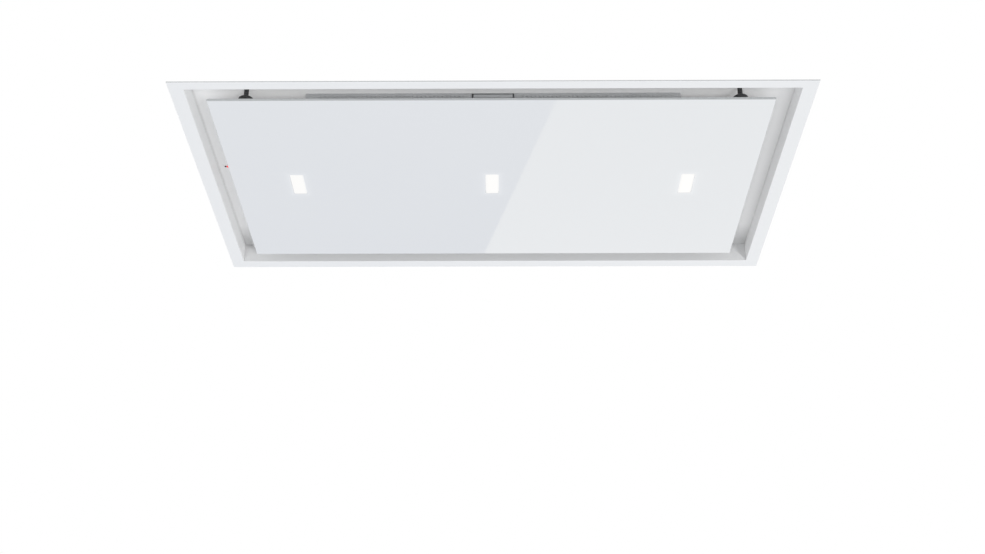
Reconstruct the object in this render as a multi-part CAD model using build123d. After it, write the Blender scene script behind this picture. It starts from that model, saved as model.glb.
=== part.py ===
from build123d import *
import os

# Ceiling range hood: a flush flange and a hinged glass panel below the ceiling, the extractor above it.
# Millimetres. X runs along the long side, -Y is the panel's latch side, +Y its hinge side, +Z is up.
# The origin is the centre of the recess's opening, in the ceiling plane that the flange lies against.

# Flange and recess
hood_width = 900.0  # over the flange, along X
hood_depth = 577.0  # over the flange, along Y
flange_width = 21.0  # at the sides
front_flange = 17.7
rear_flange = 21.3
flange_thickness = 2.0
upstand_thickness = 1.5  # recess walls
recess_depth = 32.0  # from the flange's lower face up to the recess pan
edge_round = 0.7

# Chassis above the ceiling
sheet = 1.2  # pan, walls and cover
wall_lift = 3.0  # chassis walls stop short of the ceiling plane
fold_width = 14.0  # turned-in edges of the chassis walls
hanger_inset = 50.0  # hanger hole in from the chassis wall
hanger_hole_radius = 4.5
hanger_table = 36.0
hanger_foot = 15.0
hanger_width = 32.0
hanger_height = 16.0
hanger_sheet = 2.5
hanger_bend = 1.5  # inside radius of the brackets' bends
long_side_screws = (0.3, 0.9)  # cover screws, as shares of the half length each way
short_side_screw = 0.55

# Glass panel
intake_gap = 29.0  # all round the panel, before the glass's offset
glass_offset = -2.5  # glass and tray off the hood's middle, along X
glass_thickness = 4.0
arris = 0.5  # ground edge of the glass
carrier_inset = 12.0
carrier_sheet = 1.0
carrier_rim = 6.0  # height above the glass

# LED lamps in the panel
led_spacing = 300.0
led_width = 20.0  # along X
led_length = 59.0  # along Y
led_corner = 2.0
led_flange = 2.5
led_flange_thickness = 1.0
lamp_wall = 1.5
lamp_height = 9.0  # housing, above the glass
lens_setback = 0.1  # diffuser's face in from the glass's
board_thickness = 1.0
led_chip = 3.0

# Panel latches
latch_spacing = 700.0
latch_setback = 15.0  # stud centre in from the glass edge
stud_radius = 3.5
stud_foot_radius = 10.5
stud_foot_height = 7.5
stud_flare_height = 5.5
stud_tip_radius = 4.2
stud_tip_length = 7.0
stud_neck_gap = 3.0  # from the pan's upper face to the tip
socket_radius = 11.0
socket_height = 20.0
socket_wall = 2.0
latch_clearance = 1.0  # radial, round the stud's tip
stud_hole_clearance = 2.5

# Panel hinges
hinge_spacing = 660.0
hinge_setback = 12.0  # hinge line in from the glass edge
hinge_drop = 16.0  # hinge line below the recess pan
hinge_pin_radius = 2.5
hinge_ear_radius = 7.0
hinge_ear = 2.0  # ear thickness
hinge_inner_width = 19.0  # over the fixed bracket's ears
leaf_length = 30.0
leaf_base = 1.5
pin_tail = 1.0  # pin's end past the leaf

# Grease filter
filter_width = 536.0
filter_depth = 417.5
filter_thickness = 7.5
filter_lap = 14.0  # of the filter under the recess pan
filter_sheet = 1.0
filter_lip = 12.0
rim_slot_pitch = 6.0
rim_slot_width = 2.4
rim_slot_height = 0.8
face_slot_length = 26.0
face_slot_width = 3.0
face_slot_columns = 15
face_slot_rows = 19
face_margin = 4.0  # between the rim's lip and the slots
face_sheet = 0.8
mesh_layers = 5
mesh_sheet = 0.3

# Filter latch
latch_pull_width = 56.0
pull_end_gap = 2.5
pull_top_gap = 1.2
latch_length = 40.0
guide_ledge = 5.0
latch_travel = 5.0
latch_spring_length = 16.0
latch_spring_radius = 1.4
latch_spring_wire = 0.25
latch_spring_turns = 9
tongue_width = 16.0
tongue_sheet = 1.3

# Blower
scroll_y = 0.0  # first centre of the scroll, along Y
scroll_radius = 120.0
scroll_step = 16.0
scroll_height = 124.0
scroll_sheet = 1.2
scroll_plate = 1.5
scroll_lip = 8.0
throat_width = 150.0
plenum_height = 26.0  # from the pan up to the scroll
rail_height = 12.0
rail_width = 30.0
rail_spacing = 236.0
rail_middle = 7.5  # halfway between the rails, along Y
impeller_radius = 100.0
impeller_height = 108.0
impeller_wall = 2.0
blade_depth = 17.0
blade_thickness = 1.2
blade_count = 36
blade_lean = 35.0
inlet_radius = 76.0
inlet_lip = 20.0
inlet_sheet = 1.2
inlet_height = 6.0

# Motor
motor_radius = 46.0
motor_height = 70.0
motor_wall = 1.5
bearing_radius = 11.0
bearing_width = 7.0
shaft_radius = 4.0
rotor_radius = 28.0
rotor_height = 38.0
air_gap = 0.5
stator_height = 36.0
end_cap_thickness = 6.0
cup_gap = 4.0  # impeller cup round the motor can
mount_radius = 78.0
mount_plate = 2.0
bush_height = 6.0
bush_radius = 7.0
bush_circle = 66.0

# Outlet
duct_radius = 75.0
collar_wall = 2.5
collar_length = 60.0
collar_plate = 3.0
collar_margin = 10.0
damper_setback = 14.0
damper_pin_radius = 2.0
damper_plate = 1.5
damper_clearance = 1.5
knuckle_radius = 4.5
knuckle_length = 20.0
damper_spring_wire = 0.35
damper_spring_turns = 6

# Electrics
box_length = 140.0  # control box along X
box_depth = 180.0
box_height = 60.0
box_wall = 2.0
box_gap = 10.0  # from the left chassis wall
board_lift = 8.0
board_plate = 1.6
transformer_length = 35.0
transformer_width = 40.0
transformer_height = 28.0
smoother_radius = 6.0  # smoothing capacitors on the board
smoother_height = 20.0
smoother_pitch = 20.0
terminal_pitch = 10.0
terminal_ways = 4
terminal_height = 14.0
terminal_hole = 2.0
gland_radius = 8.0
gland_bore = 5.0
gland_length = 16.0
gland_nut = 4.0
gland_height = 62.0  # above the ceiling plane
driver_length = 150.0
driver_width = 52.0
driver_height = 30.0
capacitor_radius = 17.5
capacitor_length = 70.0
capacitor_round = 2.0
receiver_setback = 11.35  # receiver in from the recess wall
receiver_y = -1.5
receiver_radius = 1.1
receiver_rim = 0.5
receiver_proud = 0.8
lamp_radius = 1.9

# Fits
fit_gap = 0.3
running_gap = 0.05
slide_gap = 0.1
shank_gap = 0.1
screw_radius = 2.0
screw_head_radius = 4.0
screw_head = 2.2
rivet_radius = 1.6
rivet_head_radius = 3.2
rivet_head = 1.2

# Levels, from the ceiling plane up
face_z = -flange_thickness
pan_z = face_z + recess_depth
pan_top = pan_z + sheet
glass_top = face_z + glass_thickness
carrier_top = glass_top + carrier_sheet
lamp_top = glass_top + lamp_height
hinge_z = pan_z - hinge_drop
filter_top = pan_z - fit_gap
filter_z = filter_top - filter_thickness
latch_z = filter_z + filter_sheet + slide_gap
latch_top = filter_top - 2 * filter_sheet - fit_gap
scroll_z = pan_top + plenum_height
blower_z = scroll_z + scroll_plate
blower_top = blower_z + scroll_height
mount_z = blower_top + scroll_plate + bush_height
outlet_z = blower_z + scroll_height / 2
chassis_height = outlet_z + duct_radius + collar_margin + fit_gap
cover_top = chassis_height + sheet

# Places in plan, from the centre of the recess's opening
opening_x = hood_width / 2 - flange_width
opening_y = (hood_depth - front_flange - rear_flange) / 2
wall_x = opening_x + upstand_thickness
wall_y = opening_y + upstand_thickness
panel_x = opening_x - intake_gap
panel_y = opening_y - intake_gap
carrier_x = panel_x - carrier_inset
carrier_y = panel_y - carrier_inset
hinge_y = panel_y - hinge_setback
stud_y = latch_setback - panel_y
filter_x = filter_width / 2
filter_y = filter_depth / 2
pan_opening_x = filter_x - filter_lap
pan_opening_y = filter_y - filter_lap
led_places = [glass_offset + step * led_spacing for step in (-1, 0, 1)]
hinge_places = [side * hinge_spacing / 2 for side in (-1, 1)]
stud_places = [side * latch_spacing / 2 for side in (-1, 1)]
scroll_x = throat_width / 2 - scroll_radius - 3 * scroll_step
fan_x = scroll_x + scroll_step / 2
fan_y = scroll_y + scroll_step / 2
damper_y = wall_y + sheet + damper_setback
damper_spring_radius = damper_pin_radius + fit_gap + damper_spring_wire
receiver_x = receiver_setback - opening_x
lamp_x = receiver_x + receiver_radius + receiver_rim + fit_gap + lamp_radius


def block(x, y, z):
    """A box between three (low, high) pairs."""
    size = [high - low for low, high in (x, y, z)]
    centre = [(high + low) / 2 for low, high in (x, y, z)]
    return Pos(*centre) * Box(*size)


def slab(half_x, half_y, z, x=0.0, y=0.0):
    """A box centred in plan on (x, y), between two heights."""
    return block((x - half_x, x + half_x), (y - half_y, y + half_y), z)


def column(radius, z, x=0.0, y=0.0):
    """An upright cylinder between two heights."""
    return Pos(x, y, (z[0] + z[1]) / 2) * Cylinder(radius, z[1] - z[0])


def bar_x(radius, x, y, z):
    """A cylinder along X between two places."""
    return Pos((x[0] + x[1]) / 2, y, z) * Rot(0, 90, 0) * Cylinder(radius, x[1] - x[0])


def bar_y(radius, y, x, z):
    """A cylinder along Y between two places."""
    return Pos(x, (y[0] + y[1]) / 2, z) * Rot(90, 0, 0) * Cylinder(radius, y[1] - y[0])


def ring(outer, inner, z, x=0.0, y=0.0):
    """An upright tube between two heights."""
    return column(outer, z, x, y) - column(inner, z, x, y)


def group(solids):
    """Several separate solids in one piece's file."""
    return Compound(children=list(solids))


def screw(x, y, seat, depth):
    """A pan-head screw driven down through a seat."""
    head = column(screw_head_radius, (seat, seat + screw_head), x, y)
    head = fillet(head.faces().sort_by(Axis.Z)[-1].edges(), screw_head / 3)
    return head + column(screw_radius, (seat - depth, seat), x, y)


# Trim and recess


def trim_frame():
    """White flange with the recess walls turned up from its inner edge."""
    flange = slab(hood_width / 2, hood_depth / 2, (face_z, 0), 0, (rear_flange - front_flange) / 2)
    upstand = slab(wall_x, wall_y, (face_z, pan_z))
    frame = flange + upstand - slab(opening_x, opening_y, (face_z, pan_z))
    return fillet(frame.faces().sort_by(Axis.Z)[0].edges(), edge_round)


def recess_pan():
    """The recess's ceiling, with the filter opening and the holes for studs, receiver and screws."""
    z = (pan_z, pan_top)
    pan = slab(wall_x, wall_y, z) - slab(pan_opening_x, pan_opening_y, z)
    cuts = [column(stud_radius + stud_hole_clearance, z, x, stud_y) for x in stud_places]
    cuts += [column(receiver_radius + fit_gap / 2, z, receiver_x, receiver_y)]
    cuts += [column(lamp_radius + fit_gap / 2, z, lamp_x, receiver_y)]
    cuts += [column(screw_radius + shank_gap, z, x, y) for x, y in bracket_screw_places()]
    return pan - cuts


# Chassis


def cover_screw_places():
    """Screws round the cover's edge, in the middle of the walls' folds."""
    x = wall_x - fold_width / 2
    y = wall_y - fold_width / 2
    signs = [(i, j) for i in (-1, 1) for j in (-1, 1)]
    along = [(i * share * x, j * y) for share in long_side_screws for i, j in signs]
    return along + [(i * x, j * short_side_screw * y) for i, j in signs]


def hanger_places():
    """The four hanger holes."""
    x = wall_x - hanger_inset
    y = wall_y - hanger_inset
    return [(i * x, j * y) for i in (-1, 1) for j in (-1, 1)]


def hanger_screw_places():
    """Two screws in the feet of each hanger bracket."""
    reach = (hanger_table + hanger_foot) / 2
    return [(x + side * reach, y) for x, y in hanger_places() for side in (-1, 1)]


def rivet_places():
    """Three rivets up each corner of the chassis, as (x, z)."""
    x = wall_x - fold_width / 2
    low = pan_top + fold_width
    high = chassis_height - fold_width
    return [(side * x, z) for side in (-1, 1) for z in (low, (low + high) / 2, high)]


def cross_wall():
    """A long chassis wall on the +Y side, with its top edge folded in."""
    wall = block((-wall_x - sheet, wall_x + sheet), (wall_y, wall_y + sheet), (wall_lift, chassis_height))
    fold_z = (chassis_height - sheet, chassis_height)
    wall += block((-wall_x, wall_x), (wall_y - fold_width, wall_y + sheet), fold_z)
    cuts = [bar_y(rivet_radius + shank_gap, (wall_y, wall_y + sheet), x, z) for x, z in rivet_places()]
    cuts += [column(screw_radius + shank_gap, fold_z, x, y) for x, y in cover_screw_places()]
    return wall - cuts


def rear_wall():
    """The hinge-side wall, with the outlet's opening and the outlet plate's screw holes."""
    y = (wall_y, wall_y + sheet)
    opening = block((-throat_width / 2, throat_width / 2), y, (blower_z, blower_top))
    holes = [bar_y(screw_radius + shank_gap, y, x, z) for x, z in collar_screw_places()]
    return cross_wall() - opening - holes


def side_wall():
    """A short chassis wall on the +X side, with folds at its ends and top."""
    wall = block((wall_x, wall_x + sheet), (-wall_y, wall_y), (wall_lift, chassis_height))
    fold_x = (wall_x - fold_width, wall_x + sheet)
    fold_y = wall_y - fold_width - fit_gap
    fold_z = (chassis_height - sheet, chassis_height)
    wall += block(fold_x, (-fold_y, fold_y), fold_z)
    for side in (-1, 1):
        ends = sorted((side * wall_y, side * (wall_y - sheet)))
        fold = block(fold_x, ends, (pan_top, chassis_height - sheet))
        rivets = [bar_y(rivet_radius + shank_gap, ends, x, z) for x, z in rivet_places()]
        wall += fold - rivets
    return wall - [column(screw_radius + shank_gap, fold_z, x, y) for x, y in cover_screw_places()]


def left_wall():
    """The short wall by the control box, with the cable gland's hole."""
    wall = side_wall().mirror(Plane.YZ)
    return wall - bar_x(gland_radius + fit_gap, (-wall_x - sheet, -wall_x), 0, gland_height)


def top_cover():
    """Flat lid of the chassis."""
    z = (chassis_height, cover_top)
    places = cover_screw_places() + hanger_screw_places()
    holes = [column(screw_radius + shank_gap, z, x, y) for x, y in places]
    return slab(wall_x + sheet, wall_y + sheet, z) - holes


def corner_rivets():
    """Blind rivets through the corner folds, with their heads outside."""
    rivets = []
    for x, z in rivet_places():
        shank = bar_y(rivet_radius, (wall_y - sheet, wall_y + sheet), x, z)
        head = bar_y(rivet_head_radius, (wall_y + sheet, wall_y + sheet + rivet_head), x, z)
        head = fillet(head.faces().sort_by(Axis.Y)[-1].edges(), rivet_head * 0.6)
        tail = bar_y(rivet_radius * 1.5, (wall_y - sheet - rivet_head, wall_y - sheet), x, z)
        rivets += [shank + head + tail]
    return group(rivets + [rivet.mirror(Plane.XZ) for rivet in rivets])


def cover_screws():
    """Screws through the cover's edge into the walls, and through the hanger feet into the cover."""
    edge = [screw(x, y, cover_top, 2 * sheet + screw_head) for x, y in cover_screw_places()]
    feet_seat = cover_top + hanger_sheet
    feet = [screw(x, y, feet_seat, hanger_sheet + sheet + screw_head) for x, y in hanger_screw_places()]
    return group(edge + feet)


def hanger_strip():
    """One bracket's bent strip, standing on z = 0 with its table over the origin."""
    half = hanger_sheet / 2
    leg = hanger_table / 2 - half
    reach = hanger_table / 2 + hanger_foot
    high = hanger_height - half
    corners = [(-reach, half), (-leg, half), (-leg, high), (leg, high), (leg, half), (reach, half)]
    middle = FilletPolyline(*corners, radius=hanger_bend + half)
    return extrude(Plane.XZ * trace(middle, hanger_sheet), hanger_width / 2, both=True)


def hanger_brackets():
    """Four raised brackets on the cover, each with a hole for a ceiling rod."""
    reach = (hanger_table + hanger_foot) / 2
    strip = hanger_strip() - column(hanger_hole_radius, (0, hanger_height))
    strip -= [column(screw_radius + shank_gap, (0, hanger_sheet), side * reach) for side in (-1, 1)]
    return group(Pos(x, y, cover_top) * strip for x, y in hanger_places())


# Blower


def volute(grow):
    """The scroll's plan: three quarter arcs of rising radius and a throat, its sides moved out by grow."""
    radii = [scroll_radius + turn * scroll_step + grow for turn in range(3)]
    right = scroll_x + scroll_step + radii[2]
    left = right - throat_width - 2 * grow
    top = scroll_y + radii[0]
    arcs = [
        CenterArc((scroll_x, scroll_y), radii[0], 90, 90),
        CenterArc((scroll_x + scroll_step, scroll_y), radii[1], 180, 90),
        CenterArc((scroll_x + scroll_step, scroll_y + scroll_step), radii[2], 270, 90),
    ]
    throat = [(right, scroll_y + scroll_step), (right, wall_y), (left, wall_y), (left, top)]
    corners = throat + [(scroll_x, top)]
    sides = [Line(start, end) for start, end in zip(corners, corners[1:])]
    return make_face(arcs + sides)


def scroll_band(grow, z):
    """The scroll's plan as a solid between two heights."""
    return Pos(0, 0, z[0]) * extrude(volute(grow), z[1] - z[0])


def scroll_base():
    """Lower plate of the scroll, with the inlet hole."""
    z = (scroll_z, blower_z)
    return scroll_band(scroll_sheet + scroll_lip, z) - column(inlet_radius + inlet_lip / 3, z, fan_x, fan_y)


def scroll_wall():
    """The scroll's curved side."""
    z = (blower_z, blower_top)
    return scroll_band(scroll_sheet, z) - scroll_band(0, z)


def scroll_top():
    """Upper plate of the scroll, with the hole that the motor hangs through."""
    z = (blower_top, blower_top + scroll_plate)
    plate = scroll_band(scroll_sheet + scroll_lip, z) - column(motor_radius + cup_gap, z, fan_x, fan_y)
    return plate - [column(screw_radius + shank_gap, z, x, y) for x, y in bush_places()]


def rail(y):
    """A channel across the chassis that the scroll stands on."""
    z = (scroll_z - rail_height, scroll_z)
    outer = block((-wall_x, wall_x), (y - rail_width / 2, y + rail_width / 2), z)
    inner_half = rail_width / 2 - scroll_plate
    return outer - block((-wall_x, wall_x), (y - inner_half, y + inner_half), (z[0], z[1] - scroll_plate))


def inlet_ring():
    """Flanged ring that leads air into the impeller."""
    flange = ring(inlet_radius + inlet_lip, inlet_radius, (blower_z, blower_z + inlet_sheet), fan_x, fan_y)
    tube = ring(inlet_radius + inlet_sheet, inlet_radius, (blower_z, blower_z + inlet_height), fan_x, fan_y)
    return flange + tube


def impeller():
    """Drum of leaning blades on a cup that goes round the motor."""
    low = blower_z + (scroll_height - impeller_height) / 2
    high = low + impeller_height
    cup_in = motor_radius + cup_gap
    cup_out = cup_in + impeller_wall
    floor = motor_low() - 3 * cup_gap
    inner = impeller_radius - blade_depth
    drum = ring(impeller_radius, cup_in, (high - impeller_wall, high))
    drum += ring(impeller_radius, inner, (low, low + impeller_wall))
    drum += ring(cup_out, cup_in, (floor, high))
    drum += column(cup_out, (floor, floor + impeller_wall)) + column(3 * shaft_radius, hub_span())
    blade_long = blade_depth - impeller_wall
    middle = impeller_radius - blade_depth / 2
    blade = Rot(0, 0, blade_lean) * Box(blade_long, blade_thickness, impeller_height - impeller_wall)
    drum += [
        Rot(0, 0, 360 * turn / blade_count) * Pos(middle, 0, (low + high) / 2) * blade
        for turn in range(blade_count)
    ]
    drum -= column(shaft_radius + running_gap, (low, high))
    return Pos(fan_x, fan_y, 0) * drum


# Motor


def motor_low():
    """Lower end of the motor can."""
    return mount_z - end_cap_thickness - motor_height


def hub_span():
    """Heights of the impeller's hub."""
    floor = motor_low() - 3 * cup_gap
    return (floor - 4 * shaft_radius, floor + impeller_wall)


def bush_places():
    """Three bushes on a circle round the motor."""
    places = PolarLocations(bush_circle, 3)
    return [(fan_x + place.position.X, fan_y + place.position.Y) for place in places.locations]


def cap_screw_places():
    """Three screws that hold the end cap under its mounting plate."""
    places = PolarLocations(motor_radius * 0.7, 3, start_angle=60)
    return [(fan_x + place.position.X, fan_y + place.position.Y) for place in places.locations]


def motor_mount():
    """Disc that carries the motor on the three bushes."""
    z = (mount_z, mount_z + mount_plate)
    holes = [column(screw_radius + shank_gap, z, x, y) for x, y in bush_places() + cap_screw_places()]
    return column(mount_radius, z, fan_x, fan_y) - holes


def motor_bushes():
    """Rubber bushes between the scroll's top and the mounting disc."""
    z = (mount_z - bush_height, mount_z)
    return group(ring(bush_radius, screw_radius + shank_gap, z, x, y) for x, y in bush_places())


def motor_screws():
    """Screws through the bushes, and from the mounting disc into the end cap."""
    seat = mount_z + mount_plate
    long_depth = mount_plate + bush_height + scroll_plate + screw_head
    long_ones = [screw(x, y, seat, long_depth) for x, y in bush_places()]
    short_ones = [screw(x, y, seat, mount_plate + end_cap_thickness / 2) for x, y in cap_screw_places()]
    return group(long_ones + short_ones)


def motor_can():
    """Deep-drawn can with the lower bearing's seat."""
    low = motor_low()
    seat = low + motor_wall
    can = column(motor_radius, (low, low + motor_height))
    can -= column(motor_radius - motor_wall, (seat, low + motor_height))
    can += column(bearing_radius + 2 * motor_wall, (low, seat + bearing_width))
    can -= column(bearing_radius + running_gap, (seat, seat + bearing_width))
    can -= column(shaft_radius + motor_wall, (low, seat))
    return Pos(fan_x, fan_y, 0) * can


def motor_end_cap():
    """Cap that closes the can and holds the upper bearing."""
    low = mount_z - end_cap_thickness
    boss = low - bearing_width / 2
    cap = column(motor_radius, (low, mount_z)) + column(bearing_radius + 2 * motor_wall, (boss, low))
    cap -= column(bearing_radius + running_gap, (boss, boss + bearing_width))
    cap = Pos(fan_x, fan_y, 0) * cap
    z = (low + end_cap_thickness / 2, mount_z)
    return cap - [column(screw_radius + shank_gap, z, x, y) for x, y in cap_screw_places()]


def bearing_levels():
    """Lower faces of the two bearings."""
    return (motor_low() + motor_wall, mount_z - end_cap_thickness - bearing_width / 2)


def motor_bearings():
    """Two ball bearings, each as its outer shape."""
    bore = shaft_radius + running_gap
    return group(ring(bearing_radius, bore, (z, z + bearing_width), fan_x, fan_y) for z in bearing_levels())


def core_middle():
    """Height of the stator's and rotor's middle."""
    return motor_low() + motor_height / 2


def stator_core():
    """Wound stator, as its outer shape."""
    z = (core_middle() - stator_height / 2, core_middle() + stator_height / 2)
    return ring(motor_radius - motor_wall - running_gap, rotor_radius + air_gap, z, fan_x, fan_y)


def rotor_core():
    """Rotor pressed on the shaft."""
    z = (core_middle() - rotor_height / 2, core_middle() + rotor_height / 2)
    return ring(rotor_radius, shaft_radius + running_gap, z, fan_x, fan_y)


def nut_height():
    """Height of the hub nut."""
    return 1.5 * shaft_radius


def motor_shaft():
    """Shaft from the upper bearing down through the hub and its nut."""
    low = hub_span()[0] - nut_height() - running_gap
    return column(shaft_radius, (low, bearing_levels()[1] + bearing_width - running_gap), fan_x, fan_y)


def hub_nut():
    """Hexagon nut under the impeller's hub."""
    low = hub_span()[0] - nut_height()
    nut = extrude(RegularPolygon(2 * shaft_radius, 6), nut_height())
    return Pos(fan_x, fan_y, low) * (nut - Cylinder(shaft_radius + running_gap, 4 * nut_height()))


# Outlet


def collar_screw_places():
    """Screws at the corners of the outlet plate, as (x, z)."""
    reach = duct_radius + collar_margin / 2
    return [(i * reach, outlet_z + j * reach) for i in (-1, 1) for j in (-1, 1)]


def outlet_plate():
    """Square plate on the rear wall round the outlet."""
    y = (wall_y + sheet, wall_y + sheet + collar_plate)
    half = duct_radius + collar_margin
    plate = block((-half, half), y, (outlet_z - half, outlet_z + half))
    plate -= bar_y(duct_radius - collar_wall, y, 0, outlet_z)
    return plate - [bar_y(screw_radius + shank_gap, y, x, z) for x, z in collar_screw_places()]


def outlet_spigot():
    """Tube on the plate that the duct goes over, with holes for the damper pin."""
    y = (wall_y + sheet + collar_plate, wall_y + sheet + collar_length)
    spigot = bar_y(duct_radius, y, 0, outlet_z) - bar_y(duct_radius - collar_wall, y, 0, outlet_z)
    reach = duct_radius + collar_wall
    pin_hole_z = (outlet_z - reach, outlet_z + reach)
    return spigot - column(damper_pin_radius + shank_gap, pin_hole_z, 0, damper_y)


def collar_screws():
    """Screws that hold the outlet plate to the rear wall."""
    seat = wall_y + sheet + collar_plate
    solids = []
    for x, z in collar_screw_places():
        head = bar_y(screw_head_radius, (seat, seat + screw_head), x, z)
        head = fillet(head.faces().sort_by(Axis.Y)[-1].edges(), screw_head / 3)
        solids += [head + bar_y(screw_radius, (wall_y - screw_head, seat), x, z)]
    return group(solids)


def damper_pin():
    """Upright pin across the spigot that both flaps turn on."""
    reach = duct_radius - collar_wall / 4
    return column(damper_pin_radius, (outlet_z - reach, outlet_z + reach), 0, damper_y)


def knuckle_spans(first):
    """Heights of one flap's two knuckles; the flaps' knuckles take turns along the pin."""
    step = knuckle_length + 2 * fit_gap
    middle = damper_spring_turns * 4 * damper_spring_wire
    below = -middle - 2 * step + first * step
    above = middle + first * step + 2 * fit_gap
    return [(outlet_z + low, outlet_z + low + knuckle_length) for low in (below, above)]


def damper_flap(side, first):
    """Half-disc flap on one side of the pin, with its two knuckles."""
    radius = duct_radius - collar_wall - damper_clearance
    y = (damper_y - damper_plate / 2, damper_y + damper_plate / 2)
    z = (outlet_z - radius, outlet_z + radius)
    flap = bar_y(radius, y, 0, outlet_z) & block(sorted((0, side * radius)), y, z)
    flap -= column(knuckle_radius + 2 * fit_gap, z, 0, damper_y)
    for span in knuckle_spans(first):
        web = block(sorted((side * knuckle_radius / 2, side * 2 * knuckle_radius)), y, span)
        flap += column(knuckle_radius, span, 0, damper_y) + web
    return flap - column(damper_pin_radius + running_gap, z, 0, damper_y)


def damper_spring():
    """Coil round the pin between the knuckles."""
    height = damper_spring_turns * 4 * damper_spring_wire
    path = Wire([Edge.make_helix(height / damper_spring_turns, height, damper_spring_radius)])
    wire = sweep(Plane(origin=path @ 0, z_dir=path % 0) * Circle(damper_spring_wire), path=path)
    return Pos(0, damper_y, outlet_z - height / 2) * wire


# Electrics


def box_x():
    """The control box's ends along X."""
    return (-wall_x + box_gap, -wall_x + box_gap + box_length)


def control_box():
    """Open plastic box on the pan, with an opening towards the gland."""
    x = box_x()
    z = (pan_top, pan_top + box_height)
    box = block(x, (-box_depth / 2, box_depth / 2), z)
    inner_x = (x[0] + box_wall, x[1] - box_wall)
    inner_y = (box_wall - box_depth / 2, box_depth / 2 - box_wall)
    box -= block(inner_x, inner_y, (z[0] + box_wall, z[1]))
    return box - bar_x(gland_radius + fit_gap, (x[0], x[0] + box_wall), 0, gland_height)


def control_lid():
    """Lid of the control box, with a lip inside its walls."""
    x = box_x()
    seat = pan_top + box_height
    lid = block(x, (-box_depth / 2, box_depth / 2), (seat, seat + box_wall))
    inset = box_wall + fit_gap
    lip_x = (x[0] + inset, x[1] - inset)
    lip_y = box_depth / 2 - inset
    lip = block(lip_x, (-lip_y, lip_y), (seat - box_wall, seat))
    thin_x = (lip_x[0] + box_wall, lip_x[1] - box_wall)
    lip -= block(thin_x, (box_wall - lip_y, lip_y - box_wall), (seat - box_wall, seat))
    return fillet((lid + lip).edges().group_by(Axis.Z)[-1], box_wall / 2)


def control_board():
    """Circuit board on four posts, with its tallest parts."""
    x0, x1 = box_x()
    floor = pan_top + box_wall
    z = floor + board_lift
    inset = 3 * box_wall
    half_y = box_depth / 2 - inset
    left = x0 + gland_length
    top = z + board_plate
    board = block((left, x1 - inset), (-half_y, half_y), (z, top))
    for x in (left + inset, x1 - 2 * inset):
        for y in (inset - half_y, half_y - inset):
            board += column(box_wall, (floor, z), x, y)
    x = x1 - transformer_length
    half = transformer_length / 2
    board += slab(half, transformer_width / 2, (top, top + transformer_height), x, -transformer_width)
    tall = (top, top + smoother_height)
    places = [smoother_pitch * (step + 0.5) for step in range(3)]
    return board + [column(smoother_radius, tall, x, y) for y in places]


def terminal_block():
    """Supply terminals beside the gland, on the box's floor."""
    x = box_x()[0] + box_wall + fit_gap
    floor = pan_top + box_wall
    depth = gland_length - box_wall - 2 * fit_gap
    length = terminal_ways * terminal_pitch
    start = box_depth / 2 - 3 * box_wall - 2 * terminal_pitch - length
    body = block((x, x + depth), (start, start + length), (floor, floor + terminal_height))
    hole_z = (floor + terminal_height / 2, floor + terminal_height)
    places = [start + terminal_pitch * (way + 0.5) for way in range(terminal_ways)]
    return body - [column(terminal_hole, hole_z, x + depth / 2, y) for y in places]


def cable_gland():
    """Hollow gland through the left wall, with a hexagon outside and a nut between wall and box."""
    outside = -wall_x - sheet
    low = outside - gland_length
    stem = bar_x(gland_radius, (low + gland_length / 2, box_x()[0] + box_wall), 0, gland_height)
    hexagon = extrude(RegularPolygon(gland_radius * 1.5, 6), gland_length / 2)
    hexagon = Pos(low + gland_length / 2, 0, gland_height) * Rot(0, 90, 0) * hexagon
    dome = bar_x(gland_radius * 1.25, (low, low + gland_length / 2), 0, gland_height)
    dome = fillet(dome.faces().sort_by(Axis.X)[0].edges(), gland_radius / 4)
    bore = bar_x(gland_bore, (low, box_x()[0] + box_wall), 0, gland_height)
    nut = extrude(RegularPolygon(gland_radius * 1.5, 6), gland_nut)
    nut = Pos(-wall_x, 0, gland_height) * Rot(0, 90, 0) * nut
    return stem + hexagon + dome + nut - bore


def led_driver():
    """Closed supply for the LEDs, on the pan."""
    x = wall_x - box_gap - driver_width / 2
    box = slab(driver_width / 2, driver_length / 2, (pan_top, pan_top + driver_height), x)
    return fillet(box.edges().group_by(Axis.Z)[-1], box_wall)


def run_capacitor():
    """The motor's capacitor, upright on the pan."""
    x = wall_x - box_gap - driver_width / 2
    y = rail_middle - rail_spacing / 2 - rail_width / 2 - box_gap - capacitor_radius
    can = column(capacitor_radius, (pan_top, pan_top + capacitor_length), x, y)
    return fillet(can.faces().sort_by(Axis.Z)[-1].edges(), capacitor_round)


def remote_receiver():
    """Dark receiver window, flush under the pan."""
    eye = column(receiver_radius, (pan_z - receiver_proud, pan_top), receiver_x, receiver_y)
    rim = column(receiver_radius + receiver_rim, (pan_z - receiver_proud, pan_z), receiver_x, receiver_y)
    return eye + rim


def status_lamp():
    """Red lamp beside the receiver."""
    lamp = column(lamp_radius, (pan_z - lamp_radius, pan_top), lamp_x, receiver_y)
    return fillet(lamp.faces().sort_by(Axis.Z)[0].edges(), lamp_radius * 0.6)


# Panel


def led_cut(grow, z, x):
    """A round-cornered LED window's shape between two heights."""
    window = RectangleRounded(led_width + 2 * grow, led_length + 2 * grow, led_corner + grow)
    return Pos(x, 0, z[0]) * extrude(window, z[1] - z[0])


def glass_panel():
    """Back-painted glass with three windows, its edges ground."""
    z = (face_z, glass_top)
    glass = slab(panel_x, panel_y, z, glass_offset)
    outline = glass.edges().filter_by(Axis.Z, reverse=True)
    glass = chamfer(outline, arris)
    return glass - [led_cut(fit_gap, z, x) for x in led_places]


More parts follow.
